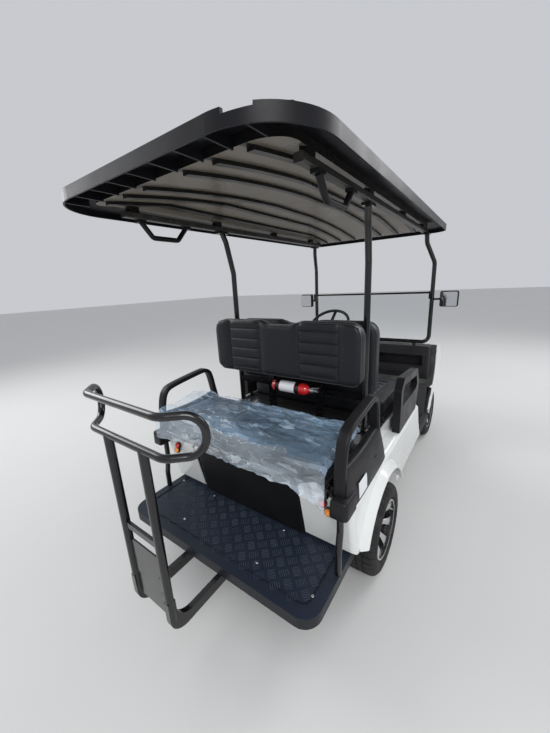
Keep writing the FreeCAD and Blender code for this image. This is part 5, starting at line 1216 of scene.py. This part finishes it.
def make_tail_lenses():
    """Round lenses under the armrest's foot: amber below and red above."""
    lean = Vector((-1.0, 0, 0.19)).normalized()
    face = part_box("tail_lamps")[1][0]
    for name, shade, z, y in (("amber", "amber", 0.5615, 0.4800),
                              ("red", "red_lens", 0.6000, 0.4560)):
        heap = Heap()
        rim = Heap()
        for side in (1, -1):
            x = face - 0.0075 - 0.19 * (z - 0.527)
            spot = Vector((x, side * y, z))
            heap.turned([(0.0040, 0.0162), (0.0110, 0.0160), (0.0150, 0.0140),
                         (0.0175, 0.0100), (0.0185, 0.0045)], spot, lean, True, 28)
            rim.turned([(-0.002, 0.0195), (0.0060, 0.0195), (0.0085, 0.0180),
                        (0.0085, 0.0160), (0.0040, 0.0158)], spot, lean, True, 28)
        piece = heap.place("tail_lens_" + name, shade)
        if name == "amber":
            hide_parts("tail_lamps")
        rim.place("tail_bezel_" + name, "moulded")


def make_bottle():
    """The extinguisher: bottle, blank band, and a valve with two levers and a pin."""
    low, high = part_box("extinguisher")
    x, z = (low[0] + high[0]) / 2, (low[2] + high[2]) / 2
    start = Vector((x, high[1], z))
    way = Vector((0, -1, 0))
    red = Heap()
    red.turned([(0.0, 0.0200), (0.0012, 0.0260), (0.0050, 0.0306), (0.0120, 0.0330),
                (0.2000, 0.0330), (0.2120, 0.0318), (0.2240, 0.0275), (0.2320, 0.0210),
                (0.2370, 0.0145), (0.2440, 0.0125)], start, way, True, 40)
    piece = red.place("extinguisher_bottle", "red_paint")
    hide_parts("extinguisher")
    band = Heap()
    band.turned([(0.0540, 0.0331), (0.0540, 0.0334), (0.1540, 0.0334), (0.1540, 0.0331)],
                start, way, False, 40)
    band.place("extinguisher_band", "label")
    valve = Heap()
    valve.turned([(0.2420, 0.0130), (0.2450, 0.0145), (0.2520, 0.0145), (0.2540, 0.0115),
                  (0.2640, 0.0115), (0.2660, 0.0090), (0.2860, 0.0080), (0.2880, 0.0060)],
                 start, way, True, 20)
    for lift, reach, tip in ((0.012, 0.052, 0.018), (0.001, 0.046, -0.004)):
        outline = rounded([(high[1] - 0.250, z + lift - 0.002),
                           (high[1] - 0.250 - reach, z + lift + tip * 0.55 - 0.002),
                           (high[1] - 0.250 - reach, z + lift + tip * 0.55 + 0.003),
                           (high[1] - 0.250, z + lift + 0.005)], 0.002, 3)
        valve.rows([[Vector((x + shift, y, up)) for y, up in outline]
                    for shift in (-0.009, 0.009)])
    ring = [Vector((x - 0.013 + 0.0085 * math.cos(a), high[1] - 0.262,
                    z + 0.004 + 0.0085 * math.sin(a))) for a in angles(20)]
    valve.pipe(ring, 0.0011, 6, closed=True)
    valve.place("extinguisher_valve", "zinc")


# the step's groups of bars: the first one's place, their pitch, and the pitch of the bars
GROUP_START = (-0.6225, 0.0397)
GROUP_PITCH = (0.0650, 0.0794)
BAR_PITCH = 0.0088


def make_step_tread():
    """Raised bars in turned groups over the step, a groove line and its screws."""
    low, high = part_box("footplate")
    top = high[2]
    bars = Heap()
    half = high[1] - 0.062
    front = high[0] - 0.075
    slope = math.sqrt(0.5)
    # two lattices of groups, the second halfway between the first and turned across it
    for shift, lean in ((0.0, 1), (0.5, -1)):
        for i in range(-1, 5):
            for j in range(-7, 7):
                x = at(GROUP_START[0], 0, 0).x + GROUP_PITCH[0] * (i + shift)
                y = GROUP_START[1] + GROUP_PITCH[1] * (j + shift)
                if not low[0] + 0.055 < x < front or abs(y) > half - 0.005:
                    continue
                if math.hypot(x - low[0] - 0.12, abs(y) - half + 0.065) > 0.075 \
                        and x < low[0] + 0.12 and abs(y) > half - 0.065:
                    continue
                way = Vector((slope, lean * slope))
                cross = Vector((-way.y, way.x))
                for n in range(5):
                    middle = Vector((x, y)) + cross * (n - 2) * BAR_PITCH
                    long_half = 0.0165 - 0.0012 * abs(n - 2)
                    first = len(bars.vertices)
                    for level, length, wide in ((top - 0.0004, long_half, 0.0018),
                                                (top + 0.0014, long_half - 0.001, 0.0010)):
                        for a, b in rectangle(-1, -1, 1, 1):
                            spot = middle + way * a * length + cross * b * wide
                            bars.vertices.append(Vector((spot.x, spot.y, level)))
                    for k in range(4):
                        m = (k + 1) % 4
                        bars.faces.append((first + k, first + m, first + 4 + m,
                                           first + 4 + k))
                    bars.faces.append((first + 4, first + 5, first + 6, first + 7))
    bars.place("step_tread", "step_bar")
    edge = Heap()
    path = rounded(rectangle(low[0] + 0.044, -half - 0.016, front + 0.05, half + 0.016),
                   [0.045, 0.01, 0.01, 0.045], 8)
    edge.rows([[Vector((u, v, top + lift)) for u, v in drawn_in(path, inset)]
               for inset, lift in ((-0.002, -0.0006), (-0.0010, 0.0010), (0.0010, 0.0010),
                                   (0.002, -0.0006))], False)
    edge.place("step_border", "step")
    screws = Heap()
    for x in (-0.372, -0.580):
        for y in (0.235, 0.500, -0.235, -0.500):
            screws.cap_screw(at(x, y, top), (0, 0, 1), 0.0062)
    screws.place("step_screws", "zinc")


def make_headlamp_lenses():
    """Two round lamps in each dark housing, set square to its faces."""
    rings = Heap()
    lenses = Heap()
    up = 0.560
    # place, the way it faces and its radius
    for x, y, facing, radius in ((1.4170, 0.3885, (0.901, 0.434), 0.0375),
                                 (1.3755, 0.4568, (0.780, 0.625), 0.0265)):
        for side in (1, -1):
            spot = Vector((x, side * y, up))
            way = Vector((facing[0], side * facing[1], 0))
            rings.turned([(-0.001, radius + 0.003), (0.0035, radius + 0.003),
                          (0.0050, radius + 0.0015), (0.0050, radius - 0.0005),
                          (0.0012, radius - 0.004), (0.0008, radius * 0.4),
                          (0.0030, radius * 0.25), (0.0034, radius * 0.1)], spot, way, True,
                         40)
            lenses.turned([(0.0030, radius - 0.001), (0.0060, radius * 0.93),
                           (0.0085, radius * 0.72), (0.0102, radius * 0.42),
                           (0.0108, radius * 0.12)], spot, way, True, 40)
    rings.place("headlamp_rings", "machined")
    lenses.place("headlamp_lenses", "lamp")


FLOOR_RIBS = 41
FLOOR_RIB_PITCH = 0.0255


def make_floor_ribs():
    """Raised ribs along the floor mat."""
    heap = Heap()
    low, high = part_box("floor_pan")
    top = low[2] + 0.0520
    for n in range(FLOOR_RIBS):
        y = (n - FLOOR_RIBS // 2) * FLOOR_RIB_PITCH
        heap.slab(rectangle(low[0] + 0.020, y - 0.0045, high[0] - 0.098, y + 0.0045),
                  top - 0.0005, top + 0.0022, "Z", 0.0009)
    heap.place("floor_ribs", "floor")


def make_fastenings():
    """Bolts over the frame, a bright strip on the deck's rear edge, and the mirrors' glass."""
    bolts = Heap()
    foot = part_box("rear_struts")[0][2] + 0.014
    for side in (1, -1):
        for x, y in ((0.121, 0.404), (0.121, 0.456), (0.173, 0.404), (0.173, 0.456)):
            bolts.hex_bolt(at(x, side * y, foot), (0, 0, 1), 0.0065)
        for x in (-0.560, -0.505):
            bolts.hex_bolt(at(x, side * (0.105 + 0.0122), 0.259), (0, side, 0), 0.0075)
            bolts.hex_bolt(at(x, side * (0.105 - 0.0122), 0.259), (0, -side, 0), 0.0075)
    bolts.place("frame_bolts", "zinc")
    # a bright machined strip along the deck's rear edge: partly its metal edge, partly a
    # painted highlight along it
    strip = Heap()
    low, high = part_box("rear_seat_deck")
    strip.slab(rectangle(low[0] - 0.0006, low[1] + 0.03, low[0] + 0.0034, high[1] - 0.03),
               high[2] - 0.0030, high[2] + 0.0002, "Z", 0.0004)
    strip.place("deck_edge_strip", "machined", "rear_seat")
    glass = Heap()
    low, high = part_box("mirrors")
    for side in (1, -1):
        middle = side * (high[1] - 0.066)
        outline = rounded(rectangle(middle - 0.058, low[2] + 0.008, middle + 0.058,
                                    high[2] - 0.008), 0.012, 5)
        glass.slab(outline, low[0] - 0.0014, low[0] + 0.001, "X", 0.0005)
    glass.place("mirror_glass", "mirror")


# Camera and light

def look(yaw, pitch, roll):
    """The camera's turn for a view along yaw and pitch, rolled about it."""
    ahead = Vector((math.cos(yaw) * math.cos(pitch), math.sin(yaw) * math.cos(pitch),
                    math.sin(pitch)))
    right = ahead.cross(Vector((0, 0, 1))).normalized()
    up = right.cross(ahead)
    turned_right = right * math.cos(roll) + up * math.sin(roll)
    turned_up = -right * math.sin(roll) + up * math.cos(roll)
    return Matrix((turned_right, turned_up, -ahead)).transposed()


PHOTO_HEIGHT = 733
# fitted to the photograph: focal length in pixels, place, and yaw, pitch and roll in degrees
FOCAL_PIXELS = 304.15
CAMERA_AT = (-1.34789, -0.93448, 1.45709)
CAMERA_TURN = (35.818, -14.873, -2.890)
FLOOR_REACH = 40.0


def make_camera():
    """The camera that stands where the photograph was taken."""
    data = bpy.data.cameras.new("view")
    data.sensor_width = 36.0
    data.lens = FOCAL_PIXELS * data.sensor_width / PHOTO_HEIGHT
    data.clip_end = 200.0
    camera = in_scene("view", data)
    turn = look(*[math.radians(part) for part in CAMERA_TURN])
    camera.matrix_world = Matrix.Translation(at(*CAMERA_AT)) @ turn.to_4x4()
    bpy.context.scene.camera = camera


def make_light():
    """A pale room with three large lamps, and the floor."""
    scene = bpy.context.scene
    scene.view_settings.view_transform = "Standard"
    world = bpy.data.worlds.new("studio")
    world.use_nodes = True
    back = world.node_tree.nodes["Background"]
    back.inputs["Color"].default_value = (0.93, 0.95, 1.0, 1.0)
    back.inputs["Strength"].default_value = 0.62
    scene.world = world
    # place, size in metres and watts of each lamp
    lamps = [
        ((-4.5, -3.5, 4.2), 3.0, 190.0),
        ((-2.0, 5.0, 4.0), 3.0, 130.0),
        ((4.5, -3.0, 4.6), 3.0, 120.0),
    ]
    for number, (spot, size, power) in enumerate(lamps):
        data = bpy.data.lights.new("softbox_%d" % number, "AREA")
        data.size = size
        data.energy = power
        lamp = in_scene("softbox_%d" % number, data)
        lamp.location = spot
        direction = Vector((0, 0, 0.7)) - Vector(spot)
        lamp.rotation_euler = direction.to_track_quat("-Z", "Y").to_euler()
    corners = [(x, y, 0) for x, y in rectangle(-FLOOR_REACH, -FLOOR_REACH, FLOOR_REACH,
                                               FLOOR_REACH)]
    floor = in_scene("floor", mesh_of("floor", corners, [(0, 1, 2, 3)]))
    shade = Shade("floor_pale", (0.66, 0.66, 0.65), 0.85)
    shade.tint(shade.ramp(shade.noise(0.8, 4.0), 0.3, 0.8, 0.0, 0.3), (0.60, 0.60, 0.59))
    floor.data.materials.append(shade.material)


make_shades()
make_camera()
make_light()
dress_nodes()
make_seat_pads()
make_film()
for corner in CORNERS:
    make_tyre_piece(corner)
    make_rim_piece(corner)
make_armrest_piece()
make_tail_lenses()
make_bottle()
make_step_tread()
make_fastenings()
make_headlamp_lenses()
make_floor_ribs()
